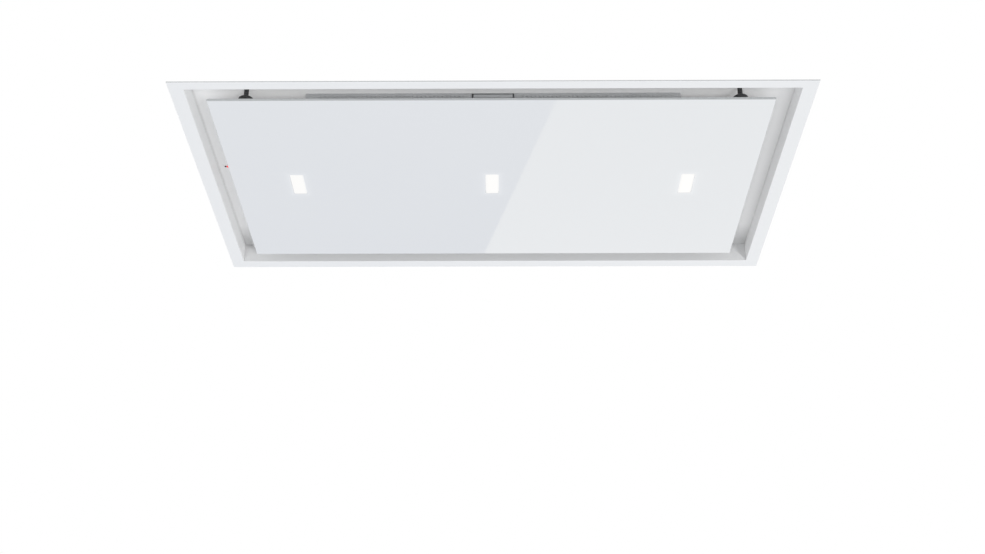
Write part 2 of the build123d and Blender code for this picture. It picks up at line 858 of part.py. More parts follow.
def panel_carrier():
    """Steel tray bonded to the glass, with a rim that is cut away at the hinges and studs."""
    tray = slab(carrier_x, carrier_y, (glass_top, glass_top + carrier_rim), glass_offset)
    inner = (carrier_x - carrier_sheet, carrier_y - carrier_sheet, (carrier_top, glass_top + carrier_rim))
    tray -= slab(*inner, glass_offset)
    grow = lamp_wall + led_flange + fit_gap
    z = (glass_top, carrier_top)
    tray -= [slab(led_width / 2 + grow, led_length / 2 + grow, z, x) for x in led_places]
    rim_z = (carrier_top, glass_top + carrier_rim)
    half = leaf_half() + hinge_ear + carrier_rim / 2
    tray -= [slab(half, 2 * carrier_sheet, rim_z, x, carrier_y) for x in hinge_places]
    half = stud_foot_radius + 2 * fit_gap
    return tray - [slab(half, 2 * carrier_sheet, rim_z, x, -carrier_y) for x in stud_places]


def led_lenses():
    """Diffusers that fill the glass windows, flanged behind the glass."""
    lens_z = (face_z + lens_setback, glass_top + led_flange_thickness)
    flange_z = (glass_top, glass_top + led_flange_thickness)
    return group(led_cut(0, lens_z, x) + led_cut(led_flange - fit_gap, flange_z, x) for x in led_places)


def lamp_housings():
    """Cups over the diffusers, on the glass's back."""
    solids = []
    for x in led_places:
        grow = led_flange + lamp_wall
        cup = slab(led_width / 2 + grow, led_length / 2 + grow, (glass_top, lamp_top), x)
        hollow_z = (glass_top, lamp_top - lamp_wall)
        cup -= slab(led_width / 2 + led_flange, led_length / 2 + led_flange, hollow_z, x)
        solids += [fillet(cup.faces().sort_by(Axis.Z)[-1].edges(), lamp_wall / 2)]
    return group(solids)


def led_boards():
    """LED boards under the housings' roofs, each with six emitters."""
    top = lamp_top - lamp_wall
    z = (top - board_thickness, top)
    solids = []
    for x in led_places:
        board = slab(led_width / 2, led_length / 2, z, x)
        chips = [(x + i * led_width / 5, j * led_length / 3) for i in (-1, 1) for j in (-1, 0, 1)]
        chip_z = (z[0] - board_thickness, z[0])
        solids += [board + [slab(led_chip / 2, led_chip / 2, chip_z, cx, cy) for cx, cy in chips]]
    return group(solids)


def latch_studs():
    """Black studs on the panel: a flared foot, a stem and a rounded tip for the socket."""
    foot_top = carrier_top + stud_foot_height
    flare_top = foot_top + stud_flare_height
    tip_low = pan_top + stud_neck_gap
    solids = []
    for x in stud_places:
        flare = Cone(stud_foot_radius, stud_radius, stud_flare_height)
        stud = column(stud_foot_radius, (carrier_top, foot_top), x, stud_y)
        stud += Pos(x, stud_y, foot_top + stud_flare_height / 2) * flare
        stud += column(stud_radius, (flare_top, tip_low), x, stud_y)
        tip = column(stud_tip_radius, (tip_low, tip_low + stud_tip_length), x, stud_y)
        solids += [stud + fillet(tip.edges().filter_by(GeomType.CIRCLE), stud_tip_radius / 4)]
    return group(solids)


def latch_sockets():
    """Sockets above the pan that take the studs' tips."""
    bore = stud_tip_radius + latch_clearance
    z = (pan_top, pan_top + socket_height)
    hollow = (pan_top, pan_top + socket_height - socket_wall)
    solids = []
    for x in stud_places:
        socket = column(socket_radius, z, x, stud_y) - column(bore, hollow, x, stud_y)
        foot = (pan_top, pan_top + socket_wall)
        socket += slab(2 * socket_radius, socket_radius, foot, x, stud_y)
        solids += [socket - column(bore, foot, x, stud_y)]
    return group(solids)


def ear(x, reach):
    """One hinge ear round the pin, joined to a base at the given height."""
    rounded = bar_x(hinge_ear_radius, x, hinge_y, hinge_z)
    web = (hinge_y - hinge_ear_radius, hinge_y + hinge_ear_radius)
    return rounded + block(x, web, sorted((hinge_z, reach)))


def bracket_screw_places():
    """Screws that hold the fixed hinge brackets to the pan."""
    y = hinge_y - hinge_ear_radius - screw_head_radius
    return [(x + side * hinge_inner_width / 4, y) for x in hinge_places for side in (-1, 1)]


def hinge_brackets():
    """Fixed brackets under the pan: a base and two ears."""
    half = hinge_inner_width / 2
    base_y = (hinge_y - hinge_ear_radius - 2 * screw_head_radius, hinge_y + hinge_ear_radius)
    base_z = (pan_z - hinge_ear, pan_z)
    solids = []
    for x in hinge_places:
        bracket = block((x - half, x + half), base_y, base_z)
        for side in (-1, 1):
            bracket += ear(sorted((x + side * half, x + side * (half - hinge_ear))), pan_z)
        bracket -= bar_x(hinge_pin_radius + running_gap, (x - half, x + half), hinge_y, hinge_z)
        holes = [p for p in bracket_screw_places() if abs(p[0] - x) < half]
        solids += [bracket - [column(screw_radius + shank_gap, base_z, *p) for p in holes]]
    return group(solids)


def bracket_screws():
    """Screws up through the brackets into the pan."""
    seat = pan_z - hinge_ear
    solids = []
    for x, y in bracket_screw_places():
        head = column(screw_head_radius * 0.9, (seat - screw_head, seat), x, y)
        solids += [head + column(screw_radius, (seat, pan_top + screw_head), x, y)]
    return group(solids)


def leaf_half():
    """Half the width over a leaf's ears, outside the fixed bracket."""
    return hinge_inner_width / 2 + 2 * fit_gap + hinge_ear


def hinge_leaves():
    """Leaves on the panel's tray, with their ears outside the fixed brackets."""
    half = leaf_half()
    base_top = carrier_top + leaf_base
    base_y = (hinge_y - leaf_length, carrier_y - fit_gap)
    above_y = (hinge_y - leaf_length, hinge_y + leaf_length)
    solids = []
    for x in hinge_places:
        leaf = block((x - half, x + half), base_y, (carrier_top, base_top))
        above = block((x - half, x + half), above_y, (carrier_top, pan_z))
        for side in (-1, 1):
            wing = ear(sorted((x + side * half, x + side * (half - hinge_ear))), base_top)
            leaf += wing & above
        leaf -= bar_x(hinge_pin_radius + running_gap, (x - half, x + half), hinge_y, hinge_z)
        solids += [leaf]
    return group(solids)


def hinge_pins():
    """Pins through the leaves and brackets, each with a head."""
    half = leaf_half()
    solids = []
    for x in hinge_places:
        pin = bar_x(hinge_pin_radius, (x - half - pin_tail, x + half), hinge_y, hinge_z)
        head = bar_x(hinge_pin_radius * 1.6, (x + half, x + half + hinge_ear), hinge_y, hinge_z)
        solids += [pin + head]
    return group(solids)


# Grease filter


def notch_half():
    """Half the width of the filter's notch for the latch."""
    return latch_pull_width / 2 + pull_end_gap


def notch_back():
    """The notch's rear edge."""
    return latch_length + latch_spring_length - filter_y


def filter_frame():
    """Folded rim round the filter, slotted low down, with hooks at its rear edge."""
    z = (filter_z, filter_top)
    frame = slab(filter_x, filter_y, z)
    low = (filter_z + filter_sheet, filter_top - filter_sheet)
    frame -= slab(filter_x - filter_sheet, filter_y - filter_sheet, low)
    hole_x = filter_x - filter_lip
    hole_y = filter_y - filter_lip
    frame -= slab(hole_x, hole_y, z)
    front = (-filter_y, filter_lip - filter_y)
    frame -= block((-notch_half(), notch_half()), front, (filter_z, filter_top - filter_sheet))
    frame -= rim_slots()
    hook_x = pan_opening_x * 0.7
    for x in (-hook_x, hook_x):
        frame += rear_hook(x)
    return frame


def rim_slots():
    """The row of small slots low in the rim's front face, on both sides of the latch."""
    z = filter_z + filter_sheet + rim_slot_height / 2
    first = notch_half() + filter_lip
    count = int((filter_x - filter_lip - first) / rim_slot_pitch)
    y = (-filter_y, filter_sheet - filter_y)
    places = [side * (first + step * rim_slot_pitch) for step in range(count) for side in (-1, 1)]
    half = rim_slot_width / 2
    return [block((x - half, x + half), y, (z, z + rim_slot_height)) for x in places]


def rear_hook(x):
    """Hook that rests on the pan behind the filter opening."""
    rise_y = (pan_opening_y - filter_lip, pan_opening_y - 2 * fit_gap)
    foot = (filter_top - filter_sheet, filter_top)
    half = tongue_width / 2
    join = block((x - half, x + half), (rise_y[0], filter_y - filter_sheet), foot)
    tongue_z = (pan_top + 2 * fit_gap, pan_top + 2 * fit_gap + tongue_sheet)
    riser = block((x - half, x + half), (rise_y[1] - tongue_sheet, rise_y[1]), (foot[0], tongue_z[1]))
    reach = (rise_y[1] - tongue_sheet, pan_opening_y + filter_lap / 2)
    return join + riser + block((x - half, x + half), reach, tongue_z)


def filter_face():
    """Slotted sheet across the filter's lower side."""
    inset = filter_sheet + fit_gap
    z = (filter_z + filter_sheet, filter_z + filter_sheet + face_sheet)
    face = slab(filter_x - inset, filter_y - inset, z)
    cut_half = notch_half() + filter_sheet + fit_gap
    face -= block((-cut_half, cut_half), (-filter_y, notch_back() + filter_sheet + fit_gap), z)
    pitch_x = 2 * (filter_x - filter_lip - face_margin) / face_slot_columns
    pitch_y = 2 * (filter_y - filter_lip - face_margin) / face_slot_rows
    slots = []
    for column_number in range(face_slot_columns):
        for row in range(face_slot_rows):
            x = (column_number - (face_slot_columns - 1) / 2) * pitch_x
            y = (row - (face_slot_rows - 1) / 2) * pitch_y
            beside = abs(x) - face_slot_length / 2 < cut_half + face_slot_width
            if not (beside and y - 2 * face_slot_width < notch_back()):
                slots += [slab(face_slot_length / 2, face_slot_width / 2, z, x, y)]
    return face - slots


def filter_mesh():
    """Layers of expanded metal, each as a thin sheet, cut away round the latch."""
    inset = filter_sheet + fit_gap
    low = filter_z + filter_sheet + face_sheet
    pitch = (filter_top - filter_sheet - mesh_sheet - low) / (mesh_layers - 1)
    half = notch_half() + 2 * filter_sheet
    solids = []
    for layer in range(mesh_layers):
        z = (low + layer * pitch, low + layer * pitch + mesh_sheet)
        notch = block((-half, half), (-filter_y, notch_back() + 2 * filter_sheet), z)
        solids += [slab(filter_x - inset, filter_y - inset, z) - notch]
    return group(solids)


def latch_guide():
    """Folded pocket that holds the sliding latch in the filter's notch."""
    half = notch_half() + filter_sheet
    roof = (filter_top - 2 * filter_sheet, filter_top - filter_sheet)
    y = (filter_sheet - filter_y + latch_travel + fit_gap, notch_back() + filter_sheet)
    guide = block((-half, half), y, roof)
    low = filter_z + filter_sheet + face_sheet
    guide += block((-half, half), (notch_back(), notch_back() + filter_sheet), (low, roof[1]))
    cheek_y = (filter_lip - filter_y, y[1])
    ledge_z = (filter_z, latch_z - slide_gap)
    for side in (-1, 1):
        cheek = sorted((side * notch_half(), side * half))
        ledge = sorted((side * (notch_half() - guide_ledge), side * half))
        guide += block(cheek, cheek_y, (filter_z, roof[1])) + block(ledge, cheek_y, ledge_z)
    slot_x = tongue_width / 2 + 2 * fit_gap
    slot_y = (tongue_y()[0] - 2 * fit_gap, tongue_y()[1] + latch_travel + 2 * fit_gap)
    return guide - block((-slot_x, slot_x), slot_y, roof)


def tongue_y():
    """The latch tongue's riser, just inside the pan's opening."""
    front = fit_gap - pan_opening_y + 4 * tongue_sheet
    return (front, front + tongue_sheet)


def filter_latch():
    """Sliding latch: a pull in the rim, a body with a finger cup, and a tongue up through the opening."""
    half = latch_pull_width / 2
    body_y = (-filter_y, latch_length - filter_y)
    body = block((-half, half), body_y, (latch_z, latch_top))
    cup_half = half * 0.75
    cup_y = (body_y[0] + 0.3 * latch_length, body_y[1] - 0.2 * latch_length)
    body -= block((-cup_half, cup_half), cup_y, (latch_z, latch_top - filter_sheet))
    front_y = (-filter_y, filter_sheet - filter_y - fit_gap)
    front_z = (filter_z, filter_top - filter_sheet - pull_top_gap)
    front = block((-half, half), front_y, front_z)
    wide = tongue_width / 2
    tongue_z = (pan_top + 2 * fit_gap, pan_top + 2 * fit_gap + tongue_sheet)
    riser = block((-wide, wide), tongue_y(), (latch_top - filter_sheet, tongue_z[1]))
    tip = block((-wide, wide), (fit_gap - pan_opening_y, tongue_y()[1]), tongue_z)
    return body + front + riser + tip


def latch_springs():
    """Two springs between the latch's rear face and the guide's rear fold."""
    length = latch_spring_length - 2 * fit_gap
    helix_length = length - 2 * latch_spring_wire
    pitch = helix_length / latch_spring_turns
    path = Wire([Edge.make_helix(pitch, helix_length, latch_spring_radius)])
    wire = sweep(Plane(origin=path @ 0, z_dir=path % 0) * Circle(latch_spring_wire), path=path)
    start = latch_length - filter_y + fit_gap + latch_spring_wire
    spring = Pos(0, start, (latch_z + latch_top) / 2) * Rot(-90, 0, 0) * wire
    return group(Pos(x, 0, 0) * spring for x in (-latch_length / 2, latch_length / 2))


pieces = {
    "trim_frame": trim_frame(),
    "recess_pan": recess_pan(),
    "front_wall": cross_wall().mirror(Plane.XZ),
    "rear_wall": rear_wall(),
    "left_wall": left_wall(),
    "right_wall": side_wall(),
    "top_cover": top_cover(),
    "corner_rivets": corner_rivets(),
    "cover_screws": cover_screws(),
    "hanger_brackets": hanger_brackets(),
    "front_rail": rail(rail_middle - rail_spacing / 2),
    "rear_rail": rail(rail_middle + rail_spacing / 2),
    "scroll_base": scroll_base(),
    "scroll_wall": scroll_wall(),
    "scroll_top": scroll_top(),
    "inlet_ring": inlet_ring(),
    "impeller": impeller(),
    "hub_nut": hub_nut(),
    "motor_mount": motor_mount(),
    "motor_bushes": motor_bushes(),
    "motor_screws": motor_screws(),
    "motor_can": motor_can(),
    "motor_end_cap": motor_end_cap(),
    "motor_bearings": motor_bearings(),
    "stator_core": stator_core(),
    "rotor_core": rotor_core(),
    "motor_shaft": motor_shaft(),
    "outlet_plate": outlet_plate(),
    "outlet_spigot": outlet_spigot(),
    "collar_screws": collar_screws(),
    "damper_pin": damper_pin(),
    "damper_flap_left": damper_flap(-1, 0),
    "damper_flap_right": damper_flap(1, 1),
    "damper_spring": damper_spring(),
    "control_box": control_box(),
    "control_lid": control_lid(),
    "control_board": control_board(),
    "terminal_block": terminal_block(),
    "cable_gland": cable_gland(),
    "led_driver": led_driver(),
    "run_capacitor": run_capacitor(),
    "remote_receiver": remote_receiver(),
    "status_lamp": status_lamp(),
    "glass_panel": glass_panel(),
    "panel_carrier": panel_carrier(),
    "led_lenses": led_lenses(),
    "lamp_housings": lamp_housings(),
    "led_boards": led_boards(),
    "latch_studs": latch_studs(),
    "latch_sockets": latch_sockets(),
    "hinge_brackets": hinge_brackets(),
    "bracket_screws": bracket_screws(),
    "hinge_leaves": hinge_leaves(),
    "hinge_pins": hinge_pins(),
    "filter_frame": filter_frame(),
    "filter_face": filter_face(),
    "filter_mesh": filter_mesh(),
    "latch_guide": latch_guide(),
    "filter_latch": filter_latch(),
    "latch_springs": latch_springs(),
}

os.makedirs("parts", exist_ok=True)
for name, shape in pieces.items():
    export_step(shape, f"parts/{name}.step")
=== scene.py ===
import math

import bmesh
import bpy
from mathutils import Matrix, Vector


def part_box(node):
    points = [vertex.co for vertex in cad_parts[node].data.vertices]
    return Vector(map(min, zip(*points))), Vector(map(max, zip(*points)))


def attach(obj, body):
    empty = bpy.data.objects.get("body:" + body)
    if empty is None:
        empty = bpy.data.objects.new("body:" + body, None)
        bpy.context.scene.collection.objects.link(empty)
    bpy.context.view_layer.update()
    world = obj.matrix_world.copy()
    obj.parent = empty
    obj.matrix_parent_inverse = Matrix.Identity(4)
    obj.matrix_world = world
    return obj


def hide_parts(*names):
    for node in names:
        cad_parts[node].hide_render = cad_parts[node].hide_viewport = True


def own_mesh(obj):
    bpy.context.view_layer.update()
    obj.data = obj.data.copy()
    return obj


# Looks of a ceiling range hood: white trim and glass below the ceiling, a galvanised chassis above it.
# Metres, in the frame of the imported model.

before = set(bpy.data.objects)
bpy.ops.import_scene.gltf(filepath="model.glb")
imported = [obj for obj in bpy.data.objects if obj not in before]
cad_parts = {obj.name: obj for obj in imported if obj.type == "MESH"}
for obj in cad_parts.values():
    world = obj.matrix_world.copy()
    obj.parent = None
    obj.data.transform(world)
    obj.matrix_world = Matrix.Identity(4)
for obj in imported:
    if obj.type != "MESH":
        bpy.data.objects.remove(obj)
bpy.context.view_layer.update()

MM = 0.001

# Camera, found from the corners of the trim frame and the glass in the photograph
SENSOR_WIDTH = 36.0
CAMERA_LENS = 54.466
CAMERA_PLACE = (0.01163, -2.01502, -1.13258)
CAMERA_PITCH = math.radians(25.725)
CAMERA_YAW = math.radians(-0.387)
CAMERA_ROLL = math.radians(0.038)

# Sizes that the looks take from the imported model
COVER_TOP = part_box("top_cover")[1].z
FRONT_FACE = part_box("front_wall")[0].y
REAR_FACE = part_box("rear_wall")[1].y
LEFT_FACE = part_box("left_wall")[0].x
RIGHT_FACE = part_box("right_wall")[1].x
FRONT_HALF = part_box("front_wall")[1].x
GUIDE_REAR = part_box("latch_guide")[1].y
PAN_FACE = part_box("recess_pan")[0].z
TRIM_LOW, TRIM_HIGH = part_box("trim_frame")
GLASS_LOW, GLASS_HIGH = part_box("glass_panel")
MESH_LOW, MESH_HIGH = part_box("filter_mesh")
STATOR_LOW, STATOR_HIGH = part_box("stator_core")


class Value:
    """A number or colour over a surface. Arithmetic on it adds Math nodes to its tree."""

    def __init__(self, tree, socket):
        self.tree = tree
        self.socket = socket

    def math(self, operation, *values):
        return self.tree.node("ShaderNodeMath", {"operation": operation}, dict(enumerate(values)))

    def __add__(self, other):
        return self.math("ADD", self, other)

    __radd__ = __add__

    def __sub__(self, other):
        return self.math("SUBTRACT", self, other)

    def __rsub__(self, other):
        return self.math("SUBTRACT", other, self)

    def __mul__(self, other):
        return self.math("MULTIPLY", self, other)

    __rmul__ = __mul__

    def __truediv__(self, other):
        return self.math("DIVIDE", self, other)

    def __pow__(self, other):
        return self.math("POWER", self, other)

    def __abs__(self):
        return self.math("ABSOLUTE", self)

    def __gt__(self, other):
        return self.math("GREATER_THAN", self, other)

    def __lt__(self, other):
        return self.math("LESS_THAN", self, other)

    def at_least(self, other):
        return self.math("MAXIMUM", self, other)

    def at_most(self, other):
        return self.math("MINIMUM", self, other)

    def ramp(self, low, high):
        """0 below low, 1 above high, and straight between them."""
        return ((self - low) / (high - low)).at_least(0).at_most(1)

    def from_multiple(self, step, start):
        """How far a place is past the nearest of a row of places."""
        shifted = self - start
        return shifted - self.math("SNAP", shifted + step / 2, step)

    def sine(self):
        return self.math("SINE", self)

    def exponential(self):
        return self.math("EXPONENT", self)


class Tree:
    """A node tree, with one method that adds any node and a few short names for common ones."""

    def __init__(self, owner, output):
        owner.use_nodes = True
        self.owner = owner
        self.tree = owner.node_tree
        self.tree.nodes.clear()
        self.output = self.tree.nodes.new(output)
        self.coordinates = None

    def node(self, kind, settings=None, sockets=None, output=0):
        made = self.tree.nodes.new(kind)
        for name, value in (settings or {}).items():
            setattr(made, name, value)
        self.fill(made, sockets or {})
        return Value(self, made.outputs[output])

    def fill(self, made, sockets):
        """Sets or links the sockets of a node."""
        for name, value in sockets.items():
            socket = made.inputs[name]
            if isinstance(value, Value):
                self.tree.links.new(value.socket, socket)
            elif socket.type == "RGBA" and len(value) == 3:
                socket.default_value = (*value, 1)
            else:
                socket.default_value = value

    def finish_with(self, shader):
        """Ends the tree in a shader, and gives back the material or world that it belongs to."""
        self.tree.links.new(shader.socket, self.output.inputs["Surface"])
        return self.owner

    def plain_glow(self, colour=(1, 1, 1)):
        return self.node("ShaderNodeEmission", {}, {"Color": colour, "Strength": 1.0})

    def between(self, factor, first, second):
        """A shader between two shaders."""
        return self.node("ShaderNodeMixShader", {}, {0: factor, 1: first, 2: second})

    def place(self, stretch=(1, 1, 1)):
        """Where a point lies on its piece, in metres, stretched along the axes."""
        if self.coordinates is None:
            self.coordinates = self.node("ShaderNodeTexCoord", output="Object")
        if stretch == (1, 1, 1):
            return self.coordinates
        sockets = {0: self.coordinates, 1: stretch}
        return self.node("ShaderNodeVectorMath", {"operation": "MULTIPLY"}, sockets)

    def parts(self, vector):
        """The three numbers of a vector or colour."""
        first = self.node("ShaderNodeSeparateXYZ", {}, {0: vector})
        return [Value(self, socket) for socket in first.socket.node.outputs]

    def side(self):
        """How a point's surface faces, on the piece's own axes."""
        return self.parts(self.node("ShaderNodeTexCoord", output="Normal"))

    def noise(self, scale, stretch=(1, 1, 1), detail=2.0):
        sockets = {"Vector": self.place(stretch), "Scale": scale, "Detail": detail}
        return self.node("ShaderNodeTexNoise", {}, sockets)

    def noise_colour(self, scale):
        return self.node("ShaderNodeTexNoise", {}, {"Vector": self.place(), "Scale": scale}, "Color")

    def cells(self, scale, output="Distance", feature="F1", place=None):
        sockets = {"Vector": place or self.place(), "Scale": scale}
        return self.node("ShaderNodeTexVoronoi", {"feature": feature}, sockets, output)

    def mix(self, factor, first, second):
        """A colour between two colours."""
        sockets = {0: factor, 6: first, 7: second}
        return self.node("ShaderNodeMix", {"data_type": "RGBA"}, sockets, output=2)

    def bump(self, height, distance):
        sockets = {"Height": height, "Distance": distance, "Strength": 1.0}
        return self.node("ShaderNodeBump", {}, sockets)


SOCKET_NAMES = {  # where a short name isn't the socket's own
    "colour": "Base Color",
    "glow": "Emission Color",
    "emission": "Emission Strength",
    "coat": "Coat Weight",
    "specular": "Specular IOR Level",
    "ior": "IOR",
}


class Finish(Tree):
    """A material with one main shader."""

    def __init__(self, name, **constants):
        super().__init__(bpy.data.materials.new(name), "ShaderNodeOutputMaterial")
        self.shader = self.node("ShaderNodeBsdfPrincipled")
        self.finish_with(self.shader)
        self.give(**constants)

    def give(self, **values):
        """Gives sockets of the main shader a constant, or something that changes over the surface."""
        sockets = {SOCKET_NAMES.get(name, name.title()): value for name, value in values.items()}
        self.fill(self.shader.socket.node, sockets)
        return self.owner

    def powder(self, roughness):
        """The orange peel of a powder coat. Gives back its faint clouding."""
        clouding = self.noise(7.0, detail=3.0)
        speck = self.cells(900.0) < 0.06
        self.give(
            roughness=roughness + 0.08 * (clouding - 0.5) + 0.05 * speck,
            normal=self.bump(self.noise(520.0, detail=1.0), 0.03 * MM),
        )
        return clouding


# Finishes


EDGE_BAND = 0.4 * MM
INNER_START = 0.2 * MM  # above the flange's upper face
HINGE_WALL_BAND = 22 * MM
# Painted shade: the hinge-side wall of the recess is greyer than the other walls
HINGE_WALL_SHADE_GREY = (0.70, 0.702, 0.705)
# Painted shade: a grey line on the outer edge faces of the flange
FLANGE_EDGE_SHADE_GREY = (0.42, 0.43, 0.435)
# Painted shade: the far end of the recess pan is greyer
FAR_PAN_SHADE_GREY = (0.60, 0.60, 0.60)

# The recess's white walls pass light on to each other many times, most of it near the open front.
# Its paint glows faintly in place of the later bounces.
GATHERED_ON_PAN = 0.134  # at the hood's middle
PAN_LEAN = 0.035  # how much less for each metre to the right
PAN_FADE = (0.195, 0.25)  # where it ends on the pan, on the hinge side, and the far end's painted shade begins
GATHERED_ON_WALLS = 0.122  # at the hood's middle
WALL_RISE = 0.065  # how much more for each metre towards the hinge side
WALL_LEAN = 0.06  # how much less for each metre to the right

# Painted shade: the paint is a little darker beside the corners where the walls meet the pan.
FLANGE_WIDTH = 21 * MM
RECESS_HALF = TRIM_HIGH.x - FLANGE_WIDTH
CORNER_SHADE_ON_WALL = 7 * MM
RIGHT_CORNER_SHADE_ON_PAN = 14 * MM
LEFT_CORNER_SHADE_ON_PAN = 4 * MM
WALL_CORNER_SHADE = 0.22
PAN_CORNER_SHADE = 0.16

BLACK = (0, 0, 0)


def gathered_light(paint, amount):
    """The glow that stands in for light from the other walls."""
    return paint.mix(amount, BLACK, (1.0, 1.0, 1.0))


def shaded(paint, shade, colour):
    """A colour made darker by a share."""
    return paint.mix(shade, colour, BLACK)


def trim_coat(name):
    """Powder paint on the trim frame, with painted shade inside the recess and on the flange's outer
    edge.
    """
    coat = Finish(name, ior=1.5, emission=1.0)
    clouding = coat.powder(roughness=0.42)
    x, y, z = coat.parts(coat.place())
    upright = abs(coat.side()[2]) < 0.5
    outside = (abs(x) > TRIM_HIGH.x - EDGE_BAND).at_least(y > TRIM_HIGH.y - EDGE_BAND)
    outside = outside.at_least(y < TRIM_LOW.y + EDGE_BAND)
    inside = (z > INNER_START).at_least(upright * (1 - outside))
    flange = coat.mix(clouding, (0.826, 0.832, 0.838), (0.842, 0.848, 0.854))
    # Painted shade: the paint inside the recess is darker than on the flange
    inner = coat.mix(clouding, (0.74, 0.742, 0.745), (0.77, 0.772, 0.775))
    # Painted shade: the hinge-side wall is greyer still
    hinge_wall = y > TRIM_HIGH.y - HINGE_WALL_BAND
    # Painted shade beside the corner where the wall meets the pan
    corner = z.ramp(PAN_FACE - CORNER_SHADE_ON_WALL, PAN_FACE) * WALL_CORNER_SHADE
    inner = coat.mix(hinge_wall, shaded(coat, corner, inner), HINGE_WALL_SHADE_GREY)
    gathered = GATHERED_ON_WALLS + WALL_RISE * y - WALL_LEAN * x
    painted = coat.mix(inside, flange, inner)
    # Painted shade on the flange's outer edge faces, and a painted glow of light inside the recess
    return coat.give(
        colour=coat.mix(upright * outside, painted, FLANGE_EDGE_SHADE_GREY),
        glow=gathered_light(coat, gathered * (1 - corner) * inside * (1 - hinge_wall)),
    )


def powder_coat(name, light, dark, roughness):
    """Plain powder paint."""
    coat = Finish(name, ior=1.5)
    return coat.give(colour=coat.mix(coat.powder(roughness), dark, light))


def recess_coat(name):
    """Powder paint on the recess pan, with painted shade at its far end and beside its side corners."""
    coat = Finish(name, ior=1.5, emission=1.0)
    x, y, _ = coat.parts(coat.place())
    front = coat.mix(coat.powder(roughness=0.5), (0.77, 0.77, 0.77), (0.79, 0.79, 0.79))
    # Painted shade: greyer towards the far end, where the glow fades out
    share = 1 - y.ramp(*PAN_FADE)
    # Painted shade beside the corners where the side walls meet the pan
    right_corner_shade = x.ramp(RECESS_HALF - RIGHT_CORNER_SHADE_ON_PAN, RECESS_HALF)
    left_corner_shade = (0 - x).ramp(RECESS_HALF - LEFT_CORNER_SHADE_ON_PAN, RECESS_HALF)
    corner = right_corner_shade.at_least(left_corner_shade) * PAN_CORNER_SHADE
    return coat.give(
        colour=shaded(coat, corner, coat.mix(share, FAR_PAN_SHADE_GREY, front)),
        glow=gathered_light(coat, (GATHERED_ON_PAN - PAN_LEAN * x) * share * (1 - corner)),
    )


SPANGLE_RAGGED = (7 * MM,) * 3  # how far the crystals' edges wander


def galvanised(name):
    """Hot-dip zinc: a soft spangle of frosted crystals with ragged edges, and faint rolling lines."""
    zinc = Finish(name, metallic=0.55)
    feather = zinc.noise(180.0, detail=4.0)
    ragged = zinc.node("ShaderNodeVectorMath", {"operation": "MULTIPLY_ADD"}, {
        0: zinc.noise_colour(240.0), 1: SPANGLE_RAGGED, 2: zinc.place(),
    })
    crystal = zinc.parts(zinc.cells(150.0, "Color", place=ragged))
    lines = zinc.noise(30.0, stretch=(0.3, 18.0, 18.0), detail=3.0)
    cloud = zinc.noise(4.0, detail=2.0)
    tone = 0.42 * crystal[0] + 0.22 * feather + 0.16 * lines + 0.20 * cloud
    return zinc.give(
        colour=zinc.mix(tone, (0.40, 0.415, 0.43), (0.60, 0.615, 0.625)),
        roughness=0.34 + 0.22 * crystal[1] + 0.08 * feather,
        normal=zinc.bump(crystal[2] * 0.4 + feather * 0.6, 0.03 * MM),
    )


def zinc_plate(name, colour, shade):
    """Bright plated steel on fasteners and small forgings."""
    plate = Finish(name, metallic=1.0)
    patina = plate.noise(260.0, detail=3.0)
    scratch = plate.noise(300.0, stretch=(1.0, 14.0, 3.0), detail=2.0)
    return plate.give(
        colour=plate.mix(patina, shade, colour),
        roughness=0.24 + 0.16 * patina + 0.10 * scratch,
        normal=plate.bump(scratch, 0.01 * MM),
    )


def satin_metal(name, colour, shade, stretch):
    """Brushed aluminium or drawn steel, with a straight grain."""
    metal = Finish(name, metallic=1.0)
    grain = metal.noise(60.0, stretch=stretch, detail=4.0)
    clouding = metal.noise(14.0)
    return metal.give(
        colour=metal.mix(0.6 * grain + 0.4 * clouding, shade, colour),
        roughness=0.30 + 0.22 * grain,
        normal=metal.bump(grain, 0.012 * MM),
    )


def moulding(name, colour, shade, roughness):
    """Moulded plastic with a fine spark-eroded texture."""
    plastic = Finish(name, ior=1.46)
    clouding = plastic.noise(30.0, detail=3.0)
    texture = plastic.noise(1600.0, detail=2.0)
    return plastic.give(
        colour=plastic.mix(clouding, shade, colour),
        roughness=roughness + 0.12 * (texture - 0.5),
        normal=plastic.bump(texture, 0.02 * MM),
    )


GLASS_WHITE = (0.80, 0.808, 0.814)
GLASS_DEEP = (0.79, 0.80, 0.808)
GLASS_EDGE = (0.47, 0.485, 0.49)
GLASS_BACK = (0.62, 0.64, 0.66)
LED_SPACING = 300 * MM
LED_MIDDLE = (GLASS_LOW.x + GLASS_HIGH.x) / 2
LED_HALF_X = 10 * MM
LED_HALF_Y = 29.5 * MM
HALO_REACH = 4.5 * MM
HALO_STRENGTH = 0.065
SQUARE_ON = (0.5, 0.8)  # how squarely a face looks up or down before it counts as back or front
EDGE_ON = 0.92  # below which it starts to count as an edge


